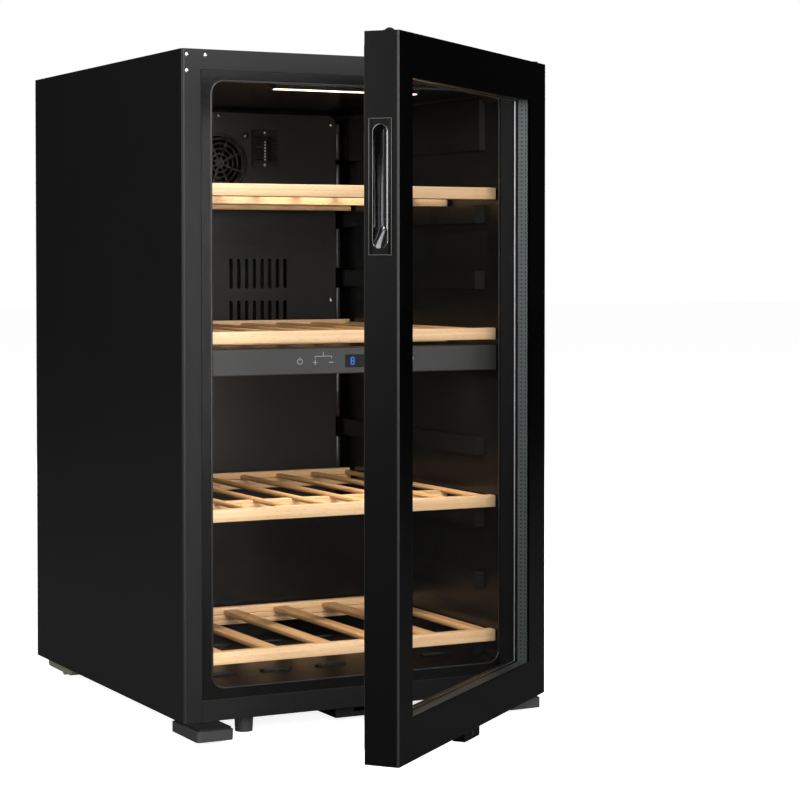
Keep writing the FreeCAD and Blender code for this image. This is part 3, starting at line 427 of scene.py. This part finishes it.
# ---- Beech shelves ----
# Each shelf is a beech frame that slides on the liner's rails: a deep front strip, slats glued
# on cross bars, and a rear bar under a stop bar. The clear-lacquered wood has short dark flecks.
def beech(name, grain_axis, early, late):
    """Lacquered beech with its grain along X or Y, from its darker to its lighter tone."""
    material = bpy.data.materials.new(name)
    material.use_nodes = True
    nodes = material.node_tree.nodes
    links = material.node_tree.links
    shader = nodes["Principled BSDF"]
    place = nodes.new("ShaderNodeTexCoord")
    figure_map = nodes.new("ShaderNodeMapping")
    fleck_map = nodes.new("ShaderNodeMapping")
    long_way = 0 if grain_axis == "X" else 1
    figure_scale = [190.0, 190.0, 190.0]
    figure_scale[long_way] = 4.0
    fleck_scale = [760.0, 760.0, 760.0]
    fleck_scale[long_way] = 75.0
    figure_map.inputs["Scale"].default_value = figure_scale
    fleck_map.inputs["Scale"].default_value = fleck_scale
    links.new(place.outputs["Object"], figure_map.inputs["Vector"])
    links.new(place.outputs["Object"], fleck_map.inputs["Vector"])
    rings = nodes.new("ShaderNodeTexNoise")
    rings.inputs["Scale"].default_value = 1.0
    rings.inputs["Detail"].default_value = 5
    rings.inputs["Distortion"].default_value = 0.3
    links.new(figure_map.outputs["Vector"], rings.inputs["Vector"])
    flecks = nodes.new("ShaderNodeTexNoise")
    flecks.inputs["Scale"].default_value = 1.0
    flecks.inputs["Detail"].default_value = 2
    links.new(fleck_map.outputs["Vector"], flecks.inputs["Vector"])
    figure = nodes.new("ShaderNodeValToRGB")
    figure.color_ramp.elements[0].position = 0.34
    figure.color_ramp.elements[0].color = (*early, 1)
    figure.color_ramp.elements[1].position = 0.66
    figure.color_ramp.elements[1].color = (*late, 1)
    links.new(rings.outputs["Fac"], figure.inputs["Fac"])
    threshold = nodes.new("ShaderNodeMapRange")
    threshold.inputs["From Min"].default_value = 0.60
    threshold.inputs["From Max"].default_value = 0.70
    threshold.inputs["To Max"].default_value = 0.55
    links.new(flecks.outputs["Fac"], threshold.inputs["Value"])
    colour = nodes.new("ShaderNodeMix")
    colour.data_type = "RGBA"
    colour.inputs["B"].default_value = (0.50, 0.27, 0.12, 1)
    links.new(threshold.outputs["Result"], colour.inputs["Factor"])
    links.new(figure.outputs["Color"], colour.inputs["A"])
    links.new(colour.outputs["Result"], shader.inputs["Base Color"])
    shader.inputs["Roughness"].default_value = 0.42
    bump = nodes.new("ShaderNodeBump")
    bump.inputs["Strength"].default_value = 0.12
    bump.inputs["Distance"].default_value = 0.0006
    links.new(rings.outputs["Fac"], bump.inputs["Height"])
    links.new(bump.outputs["Normal"], shader.inputs["Normal"])
    return material


def eased_block(name, low, high, ease, steps=2):
    """A block between two corners with its edges eased."""
    empty_selection()
    middle = [(a + b) / 2 for a, b in zip(low, high)]
    bpy.ops.mesh.primitive_cube_add(size=1, location=middle)
    piece = bpy.context.object
    piece.name = name
    piece.scale = [b - a for a, b in zip(low, high)]
    settle(piece)
    round_over = piece.modifiers.new("ease", "BEVEL")
    round_over.width = ease
    round_over.segments = steps
    apply_modifiers(piece)
    bpy.ops.object.shade_smooth_by_angle(angle=math.radians(35))
    return piece


beech_across = beech("beech_grain_across", "X", (0.76, 0.475, 0.245), (0.89, 0.615, 0.355))
beech_deep = beech("beech_grain_front_to_back", "Y", (0.61, 0.325, 0.135), (0.85, 0.52, 0.25))
dress(beech_across, "shelf_1", "shelf_2", "shelf_3", "shelf_4")
bar_height = 0.0167
slat_height = 0.008
strip_lift = 0.0077
strip_depth = 0.018
strip_height = 0.019
stop_depth = 0.013
rear_depth = 0.018
middle_setback = 0.160
bar_inset = 0.0015
bar_ease = 0.0008
strip_ease = 0.0016
stop_ease = 0.0012
rear_step = 0.0015            # rear bar's upper half behind its lower half
glue_gap = 0.0006             # stop bar above the rear bar
rear_split = 0.04             # share of the rear bar's height open between its halves
cradle_gap = 0.014
cradle_height = 0.0035
cradle_side_gap = 0.001
cradle_ease = 0.0022


def shelf_bar(name, reach, y0, y1, z0, z1, ease):
    """A member across the shelf."""
    piece = eased_block(name, (-reach, y0, z0), (reach, y1, z1), ease)
    piece.data.materials.append(beech_across)
    return piece


def build_shelf(number, slat_count, slat_width, slat_ease, middle_bar):
    """The members of one shelf, at the places of its CAD solids."""
    node = "shelf_%d" % number
    low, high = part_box(node)
    level = low.z
    strip_back = low.y + strip_depth
    reach = high.x
    bar_reach = reach - bar_inset
    slat_low = level + bar_height
    slat_top = slat_low + slat_height
    stop = high.y - stop_depth
    rear = high.y - rear_depth
    strip_low = level + strip_lift
    front_bar_back = strip_back + strip_depth
    lower_half = level + bar_height * (1 - rear_split) / 2
    upper_half = level + bar_height * (1 + rear_split) / 2
    front = shelf_bar(node + "_front_strip", reach, low.y, strip_back, strip_low,
                      strip_low + strip_height, strip_ease)
    bars = [
        shelf_bar("bar", bar_reach, strip_back, front_bar_back, strip_low, slat_low, bar_ease),
        shelf_bar("bar", bar_reach, rear, high.y, level, lower_half, bar_ease),
        shelf_bar("bar", bar_reach, rear + rear_step, high.y, upper_half, slat_low, bar_ease),
        shelf_bar("bar", bar_reach, stop, high.y, slat_low + glue_gap, high.z, stop_ease),
    ]
    pitch = 2 * (bar_reach - slat_width / 2) / (slat_count - 1)
    first_left = -bar_reach
    if middle_bar:
        middle = low.y + middle_setback
        middle_back = middle + strip_depth
        bars.append(shelf_bar("bar", bar_reach, middle, middle_back, level, slat_low, bar_ease))
        cradle_left = first_left + slat_width + cradle_gap
        cradle_right = first_left + pitch - cradle_side_gap
        cradle = shelf_bar("cradle", 1, middle, middle_back, slat_low, slat_low + cradle_height, 0.0001)
        cradle.data.transform(Matrix.Diagonal(((cradle_right - cradle_left) / 2, 1, 1, 1)))
        cradle.data.transform(Matrix.Translation(((cradle_left + cradle_right) / 2, 0, 0)))
        ease_cradle = cradle.modifiers.new("ease", "BEVEL")
        ease_cradle.width = cradle_ease
        ease_cradle.segments = 3
        apply_modifiers(cradle)
        bars.append(cradle)
        bars += [copied(cradle, (pitch * place, 0, 0)) for place in range(1, slat_count - 1)]
    slat = eased_block("slat", (first_left, strip_back, slat_low),
                       (first_left + slat_width, stop, slat_top), slat_ease, 4)
    slat.data.materials.append(beech_deep)
    slats = [slat] + [copied(slat, (pitch * place, 0, 0)) for place in range(1, slat_count)]
    cross_bars = joined(node + "_cross_bars", bars)
    slat_group = joined(node + "_slats", slats)
    for piece in (front, cross_bars, slat_group):
        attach(piece, node + "_body")
    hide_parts(node)


for number in (1, 2, 3):
    build_shelf(number, slat_count=8, slat_width=0.012, slat_ease=0.0036, middle_bar=True)
build_shelf(4, slat_count=6, slat_width=0.027, slat_ease=0.0026, middle_bar=False)

# A soft warm light under the divider stands for the lower zone's own lamp.
divider_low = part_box("zone_divider")[0]
lower_lamp = soft_box("lower_zone_glow", (0, divider_low.y + 0.05, divider_low.z - 0.004),
                      (0, divider_low.y + 0.11, 0.1), 0.40, 0.03, 1.2)
lower_lamp.data.color = (1.0, 0.86, 0.7)

# ---- Control bar ----
# A charcoal moulding clipped to the front of the divider, with printed touch symbols and a dark
# display window over blue digits.
bar_grey = surface("charcoal_moulding", (0.034, 0.034, 0.033), 0.40, 0.0010, 0.12)
dress(bar_grey, "control_panel")
smoked_window = surface("smoked_window", (0.002, 0.002, 0.004), 0.10, 0.01, 0.0, specular=0.15)
dress(smoked_window, "display_window")
symbol_ink = surface("pale_symbol_ink", (0.42, 0.42, 0.42), 0.6, 0.0008, 0.03)
bar_low, bar_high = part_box("control_panel")
ink_depth = 0.0002
ink_front = bar_low.y - ink_depth
ink_back = bar_low.y + ink_depth
symbol_line = 0.0011


def ink_bar(x, z, width, height):
    """A printed stroke on the control bar, given its middle."""
    return eased_block("stroke", (x - width / 2, ink_front, z - height / 2),
                       (x + width / 2, ink_back, z + height / 2), 0.0001, 1)


def ink_ring(x, z, radius, gap):
    """A printed ring with an opening at its top, gap in degrees."""
    strokes = []
    count = 22
    for step in range(count + 1):
        turn = math.radians(90 + gap / 2 + (360 - gap) * step / count)
        stroke = ink_bar(0, 0, symbol_line, radius * 0.36)
        place = Matrix.Translation((x + radius * math.cos(turn), 0, z + radius * math.sin(turn)))
        stroke.matrix_world = place @ Matrix.Rotation(-turn, 4, "Y")
        settle(stroke)
        strokes.append(stroke)
    return strokes


bar_middle = (bar_low.z + bar_high.z) / 2
key_line = symbol_line * 0.8
power_x = -0.101
plus_x = -0.075
minus_x = -0.0475
span_middle = -0.061
light_x = 0.092
key_level = bar_middle - 0.002
key_reach = 0.008
symbols = ink_ring(power_x, bar_middle, 0.0042, 70)
symbols.append(ink_bar(power_x, bar_middle + 0.0038, symbol_line, 0.005))
symbols.append(ink_bar(plus_x, key_level, key_reach, symbol_line))
symbols.append(ink_bar(plus_x, key_level, symbol_line, key_reach))
symbols.append(ink_bar(minus_x, key_level, key_reach, symbol_line))
# A bracket over the plus and minus keys joins them.
symbols.append(ink_bar(span_middle, bar_middle + 0.0075, 0.029, key_line))
symbols.append(ink_bar(span_middle - 0.0141, bar_middle + 0.006, key_line, 0.004))
symbols.append(ink_bar(span_middle + 0.0141, bar_middle + 0.006, key_line, 0.004))
symbols.append(ink_bar(span_middle, bar_middle + 0.011, key_line, 0.006))
symbols += ink_ring(light_x, bar_middle + 0.001, 0.0040, 60)
symbols.append(ink_bar(light_x, bar_middle - 0.0055, 0.005, symbol_line))
control_symbols = joined("control_symbols", symbols)
control_symbols.data.materials.clear()
control_symbols.data.materials.append(symbol_ink)
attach(control_symbols, "cabinet")

blue_light = surface("blue_digit_light", (0.01, 0.03, 0.10), 0.4, 0.001, 0.0)
blue_shader = blue_light.node_tree.nodes["Principled BSDF"]
blue_shader.inputs["Emission Color"].default_value = (0.03, 0.22, 0.90, 1)
blue_shader.inputs["Emission Strength"].default_value = 1.3
window_low, window_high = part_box("display_window")
digit_width = 0.0052
digit_height = 0.0105
digit_line = 0.0011
segment_share = 0.86


def digit(x, segments):
    """One seven-segment number; segments are named from top to bottom."""
    z = (window_low.z + window_high.z) / 2
    side, rise = digit_width / 2, digit_height / 4
    places = {
        "top": (0, 2 * rise, digit_width, digit_line),
        "middle": (0, 0, digit_width, digit_line),
        "bottom": (0, -2 * rise, digit_width, digit_line),
        "upper_left": (-side, rise, digit_line, 2 * rise),
        "upper_right": (side, rise, digit_line, 2 * rise),
        "lower_left": (-side, -rise, digit_line, 2 * rise),
        "lower_right": (side, -rise, digit_line, 2 * rise),
    }
    return [ink_bar(x + dx, z + dz, width * segment_share, height * segment_share)
            for dx, dz, width, height in (places[name] for name in segments)]


nine = ("top", "middle", "bottom", "upper_left", "lower_right", "upper_right")
numbers = digit(-0.0105, ("top", "middle", "bottom", "upper_left", "upper_right", "lower_left",
                          "lower_right"))
numbers += digit(0.0085, ("upper_right", "lower_right"))
numbers += digit(0.0160, nine)
display_digits = joined("display_digits", numbers)
display_digits.data.materials.clear()
display_digits.data.materials.append(blue_light)
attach(display_digits, "cabinet")

# ---- Door ----
# A double-glazed door that hangs on two pins at its right-hand corners. Its pieces are modelled
# on the closed door and then swung with it about the hinge axis.
hinge = next(joint for joint in frame["joints"] if joint["name"] == "door_hinge")
open_angle = math.radians(-hinge["range_deg"][0])
hinge_place = Vector(hinge["pos_m"])
turned = Matrix.Rotation(open_angle, 4, "Z")
swing = Matrix.Translation(hinge_place) @ turned @ Matrix.Translation(-hinge_place)
wrap_low, wrap_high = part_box("cabinet_wrap")
frame_low, frame_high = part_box("door_frame")
door_left, door_right = wrap_low.x, wrap_high.x
door_low, door_high = frame_low.z, frame_high.z
pin_setback = 0.020
pane_front = hinge_place.y - pin_setback
pane_depth = 0.004
free_border = 0.0475
hinge_border = 0.072
bottom_border = 0.060
top_border = 0.0615
window_left = door_left + free_border
window_right = door_right - hinge_border
window_low_z = door_low + bottom_border
window_high_z = door_high - top_border


def swung(piece):
    """Turns a closed-door piece to the door's rest angle and hangs it on the door."""
    piece.matrix_world = swing @ piece.matrix_world
    settle(piece)
    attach(piece, "door")


def clear_glass(name, tint, cover):
    """Float glass: a thin grey-green tint over what stands behind it."""
    material = bpy.data.materials.new(name)
    material.use_nodes = True
    shader = material.node_tree.nodes["Principled BSDF"]
    shader.inputs["Base Color"].default_value = (*tint, 1)
    shader.inputs["Roughness"].default_value = 0.02
    shader.inputs["Alpha"].default_value = cover
    return material


# The outer pane covers the whole door. Its border is screen-printed black behind the glass and
# its edges are ground to a fine chamfer.
printed_black = surface("printed_glass_border", (0.0004, 0.0004, 0.0004), 0.05, 0.02, 0.0,
                        specular=0.10)
ground_edge = surface("ground_glass_edge", (0.018, 0.021, 0.017), 0.25, 0.0006, 0.1)
window_glass = clear_glass("outer_pane_glass", (0.006, 0.007, 0.007), 0.035)
outer_pane = eased_block("outer_pane", (door_left, pane_front, door_low),
                         (door_right, pane_front + pane_depth, door_high), 0.0005, 1)
for finish_slot in (printed_black, window_glass, ground_edge):
    outer_pane.data.materials.append(finish_slot)
empty_selection()
outer_pane.select_set(True)
bpy.context.view_layer.objects.active = outer_pane
bpy.ops.object.mode_set(mode="EDIT")
window_cuts = (((window_left, 0, 0), (1, 0, 0)), ((window_right, 0, 0), (1, 0, 0)),
               ((0, 0, window_low_z), (0, 0, 1)), ((0, 0, window_high_z), (0, 0, 1)))
for corner, way in window_cuts:
    bpy.ops.mesh.select_all(action="SELECT")
    bpy.ops.mesh.bisect(plane_co=corner, plane_no=way)
bpy.ops.object.mode_set(mode="OBJECT")
for face in outer_pane.data.polygons:
    centre = face.center
    flat = abs(face.normal.y) > 0.99
    inside = window_left < centre.x < window_right and window_low_z < centre.z < window_high_z
    face.material_index = 1 if flat and inside else 0 if flat else 2
swung(outer_pane)
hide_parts("front_glass")
inner_glass = clear_glass("inner_pane_glass", (0.01, 0.012, 0.012), 0.02)
dress(inner_glass, "rear_glass")

# The frame behind the pane is one black extrusion with a soft gloss; the seal is a grey-olive
# magnetic bellows in its groove.
frame_black = surface("door_frame_black", (0.0026, 0.0026, 0.0026), 0.30, 0.0012, 0.05,
                      specular=0.10)
dress(frame_black, "door_frame", "lock_housing", "door_plugs")
seal_grey = surface("seal_rubber_grey", (0.058, 0.060, 0.048), 0.6, 0.0009, 0.2)
dress(seal_grey, "door_gasket")
bush_white = surface("acetal_bush", (0.6, 0.6, 0.57), 0.4, 0.001, 0.05)
dress(bush_white, "hinge_bushes")


# The spacer between the panes is a thin aluminium channel with two rows of fine perforations
# that lead to the drying agent.
def perforated_metal(name, pitch, hole):
    """Grey-green metal with small dark holes in rows, the same along X and Z."""
    material = surface(name, (0.085, 0.095, 0.095), 0.32, 0.002, 0.03, metallic=0.75)
    nodes = material.node_tree.nodes
    links = material.node_tree.links
    shader = nodes["Principled BSDF"]
    place = nodes.new("ShaderNodeTexCoord")
    turn_back = nodes.new("ShaderNodeMapping")
    turn_back.vector_type = "TEXTURE"
    turn_back.inputs["Location"].default_value = hinge_place
    turn_back.inputs["Rotation"].default_value = (0, 0, open_angle)
    links.new(place.outputs["Object"], turn_back.inputs["Vector"])
    split_place = nodes.new("ShaderNodeSeparateXYZ")
    links.new(turn_back.outputs["Vector"], split_place.inputs["Vector"])
    sum_along = nodes.new("ShaderNodeMath")
    sum_along.operation = "ADD"
    links.new(split_place.outputs["X"], sum_along.inputs[0])
    links.new(split_place.outputs["Z"], sum_along.inputs[1])
    axes = ((sum_along.outputs["Value"], pitch), (split_place.outputs["Y"], pitch))
    squares = []
    for value, step in axes:
        wrapped = nodes.new("ShaderNodeMath")
        wrapped.operation = "PINGPONG"
        wrapped.inputs[1].default_value = step / 2
        links.new(value, wrapped.inputs[0])
        square = nodes.new("ShaderNodeMath")
        square.operation = "POWER"
        square.inputs[1].default_value = 2
        links.new(wrapped.outputs["Value"], square.inputs[0])
        squares.append(square)
    both = nodes.new("ShaderNodeMath")
    both.operation = "ADD"
    links.new(squares[0].outputs["Value"], both.inputs[0])
    links.new(squares[1].outputs["Value"], both.inputs[1])
    pierced = nodes.new("ShaderNodeMath")
    pierced.operation = "LESS_THAN"
    pierced.inputs[1].default_value = hole * hole
    links.new(both.outputs["Value"], pierced.inputs[0])
    colour = nodes.new("ShaderNodeMix")
    colour.data_type = "RGBA"
    colour.inputs["B"].default_value = (0.012, 0.014, 0.013, 1)
    was = shader.inputs["Base Color"].links[0].from_socket
    links.new(was, colour.inputs["A"])
    links.new(pierced.outputs["Value"], colour.inputs["Factor"])
    links.new(colour.outputs["Result"], shader.inputs["Base Color"])
    return material


spacer_metal = perforated_metal("perforated_spacer", 0.0062, 0.0013)
dress(spacer_metal, "glass_spacer")

# A bright aluminium bead runs round the inner pane where it meets the frame.
bead_metal = surface("aluminium_bead", (0.55, 0.56, 0.55), 0.3, 0.0009, 0.06, metallic=1.0)
bead_setback = 0.024
bead_front = pane_front + bead_setback
bead_back = bead_front + 0.0016
bead_width = 0.0016
bead_sides = [
    ((window_left, bead_front, window_low_z), (window_left + bead_width, bead_back, window_high_z)),
    ((window_right - bead_width, bead_front, window_low_z), (window_right, bead_back, window_high_z)),
    ((window_left, bead_front, window_low_z), (window_right, bead_back, window_low_z + bead_width)),
    ((window_left, bead_front, window_high_z - bead_width), (window_right, bead_back, window_high_z)),
]
bead_parts = [eased_block("bead_side", low, high, 0.0003, 1) for low, high in bead_sides]
bead = joined("glazing_bead", bead_parts)
bead.data.materials.append(bead_metal)
swung(bead)

# ---- Recessed pull ----
# A dark chromed scoop pressed in the door's free edge: a long slot with a round top, a deep
# back wall, and a lower end that ramps out to the rim.
pull_chrome = surface("dark_chrome", (0.21, 0.21, 0.215), 0.12, 0.0012, 0.02, metallic=1.0)
pull_black = surface("pull_plate_black", (0.0028, 0.0028, 0.0028), 0.30, 0.0009, 0.06, specular=0.10)
rim_grey = surface("pull_rim_grey", (0.085, 0.085, 0.070), 0.35, 0.0009, 0.05)
pull_setback = 0.028
pull_rise = 0.703
pull_length = 0.183
pull_middle_y = pane_front + pull_setback
pull_low = door_low + pull_rise
pull_high = pull_low + pull_length
slot_radius = 0.0118
slot_margin = 0.006
slot_lip = 0.0014             # scoop's mouth out from the door's edge
scoop_steps = ((0.0016, 0.97, 0.99), (0.009, 0.92, 0.93), (0.008, 0.86, 0.93), (0.004, 0.60, 0.96))
empty_selection()
bpy.ops.mesh.primitive_circle_add(vertices=40, radius=slot_radius, location=(0, 0, 0),
                                  rotation=(0, math.radians(90), 0))
pull_scoop = bpy.context.object
pull_scoop.name = "pull_scoop"
settle(pull_scoop)
slot_low = pull_low + slot_margin + slot_radius
slot_high = pull_high - slot_margin - slot_radius
for vertex in pull_scoop.data.vertices:
    slot_end = slot_high if vertex.co.z > 0 else slot_low
    vertex.co += Vector((door_left - slot_lip, pull_middle_y, slot_end))
bpy.ops.object.mode_set(mode="EDIT")
bpy.ops.mesh.select_all(action="SELECT")
for step_in, narrow, shorten in scoop_steps:
    bpy.ops.mesh.extrude_region_move(TRANSFORM_OT_translate={"value": (step_in, 0, 0)})
    bpy.ops.transform.resize(value=(1, narrow, shorten),
                             center_override=(0, pull_middle_y, slot_high))
bpy.ops.mesh.fill()
bpy.ops.mesh.select_all(action="SELECT")
bpy.ops.mesh.normals_make_consistent(inside=False)
bpy.ops.object.mode_set(mode="OBJECT")
wall = pull_scoop.modifiers.new("wall", "SOLIDIFY")
wall.thickness = 0.0008
wall.offset = -1
soften = pull_scoop.modifiers.new("soften", "BEVEL")
soften.width = 0.0008
soften.segments = 2
soften.limit_method = "ANGLE"
apply_modifiers(pull_scoop)
bpy.ops.object.shade_smooth_by_angle(angle=math.radians(40))
pull_scoop.data.materials.append(pull_chrome)
swung(pull_scoop)
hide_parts("handle_cup")

# The rim is a thin plate round the scoop with a raised edge.
rim_half = 0.0172
rim_border = 0.002
rim_out = door_left - 0.0013
rim_low, rim_high = pull_low - rim_border, pull_high + rim_border
rim_front, rim_back = pull_middle_y - rim_half, pull_middle_y + rim_half
slot_front, slot_back = pull_middle_y - slot_radius, pull_middle_y + slot_radius
rim_parts = []
for front, back in ((rim_front, slot_front), (slot_back, rim_back)):
    rim_parts.append(eased_block("rim_side", (rim_out, front, rim_low), (door_left, back, rim_high),
                                 0.0004, 2))
for low, high, slot_end in ((rim_low, slot_low, slot_low), (slot_high, rim_high, slot_high)):
    end = eased_block("rim_end", (rim_out, slot_front, low), (door_left, slot_back, high), 0.00001, 1)
    empty_selection()
    bpy.ops.mesh.primitive_cylinder_add(vertices=48, radius=slot_radius, depth=0.02,
                                        location=(door_left, pull_middle_y, slot_end),
                                        rotation=(0, math.radians(90), 0))
    cutter = bpy.context.object
    carve = end.modifiers.new("mouth", "BOOLEAN")
    carve.object = cutter
    carve.operation = "DIFFERENCE"
    apply_modifiers(end)
    bpy.data.objects.remove(cutter)
    rim_parts.append(end)
pull_plate = joined("pull_rim", rim_parts)
pull_plate.data.materials.clear()
pull_plate.data.materials.append(pull_black)
swung(pull_plate)
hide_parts("handle_bezel")

# A fine grey-olive line stands up round the plate's edge.
line_width = 0.0009
line_out = door_left - 0.0017
line_in = door_left - 0.0002
line_sides = [
    ((line_out, rim_front, rim_low), (line_in, rim_front + line_width, rim_high)),
    ((line_out, rim_back - line_width, rim_low), (line_in, rim_back, rim_high)),
    ((line_out, rim_front, rim_low), (line_in, rim_back, rim_low + line_width)),
    ((line_out, rim_front, rim_high - line_width), (line_in, rim_back, rim_high)),
]
outline = [eased_block("line", low, high, 0.0003, 2) for low, high in line_sides]
pull_outline = joined("pull_outline", outline)
pull_outline.data.materials.append(rim_grey)
swung(pull_outline)

# ---- Feet, glides and rollers ----
# Glass-filled nylon blocks and levelling feet in dark grey, screwed under the front corners, and
# pale moulded glides with rollers at the rear.
foot_grey = surface("glass_filled_nylon", (0.045, 0.045, 0.044), 0.35, 0.0009, 0.3)
dress(foot_grey, "left_foot_block", "right_foot_block", "levelling_foot_left",
      "levelling_foot_right")
glide_olive = surface("pale_glide_moulding", (0.30, 0.33, 0.25), 0.55, 0.0014, 0.15)
dress(glide_olive, "rear_feet")
roller_grey = surface("roller_moulding", (0.34, 0.35, 0.31), 0.5, 0.0012, 0.1)
dress(roller_grey, "rear_roller_left", "rear_roller_right")

# ---- Cooling parts ----
# In the niche at the back a gloss black compressor stands on rubber grommets; drawn copper lines
# lead from it to the aluminium fins of the condenser and the two evaporators.
compressor_gloss = surface("compressor_enamel", (0.012, 0.012, 0.012), 0.2, 0.004, 0.05)
dress(compressor_gloss, "compressor")
grommet_rubber = surface("grommet_rubber", (0.02, 0.02, 0.02), 0.8, 0.001, 0.2)
dress(grommet_rubber, "compressor_mounts")
copper = surface("drawn_copper", (0.70, 0.33, 0.20), 0.28, 0.002, 0.06, metallic=1.0, clouds=0.2)
dress(copper, "refrigerant_lines")
fin_metal = surface("aluminium_fins", (0.62, 0.63, 0.64), 0.38, 0.0012, 0.08, metallic=1.0)
dress(fin_metal, "condenser_coil", "upper_evaporator", "lower_evaporator")
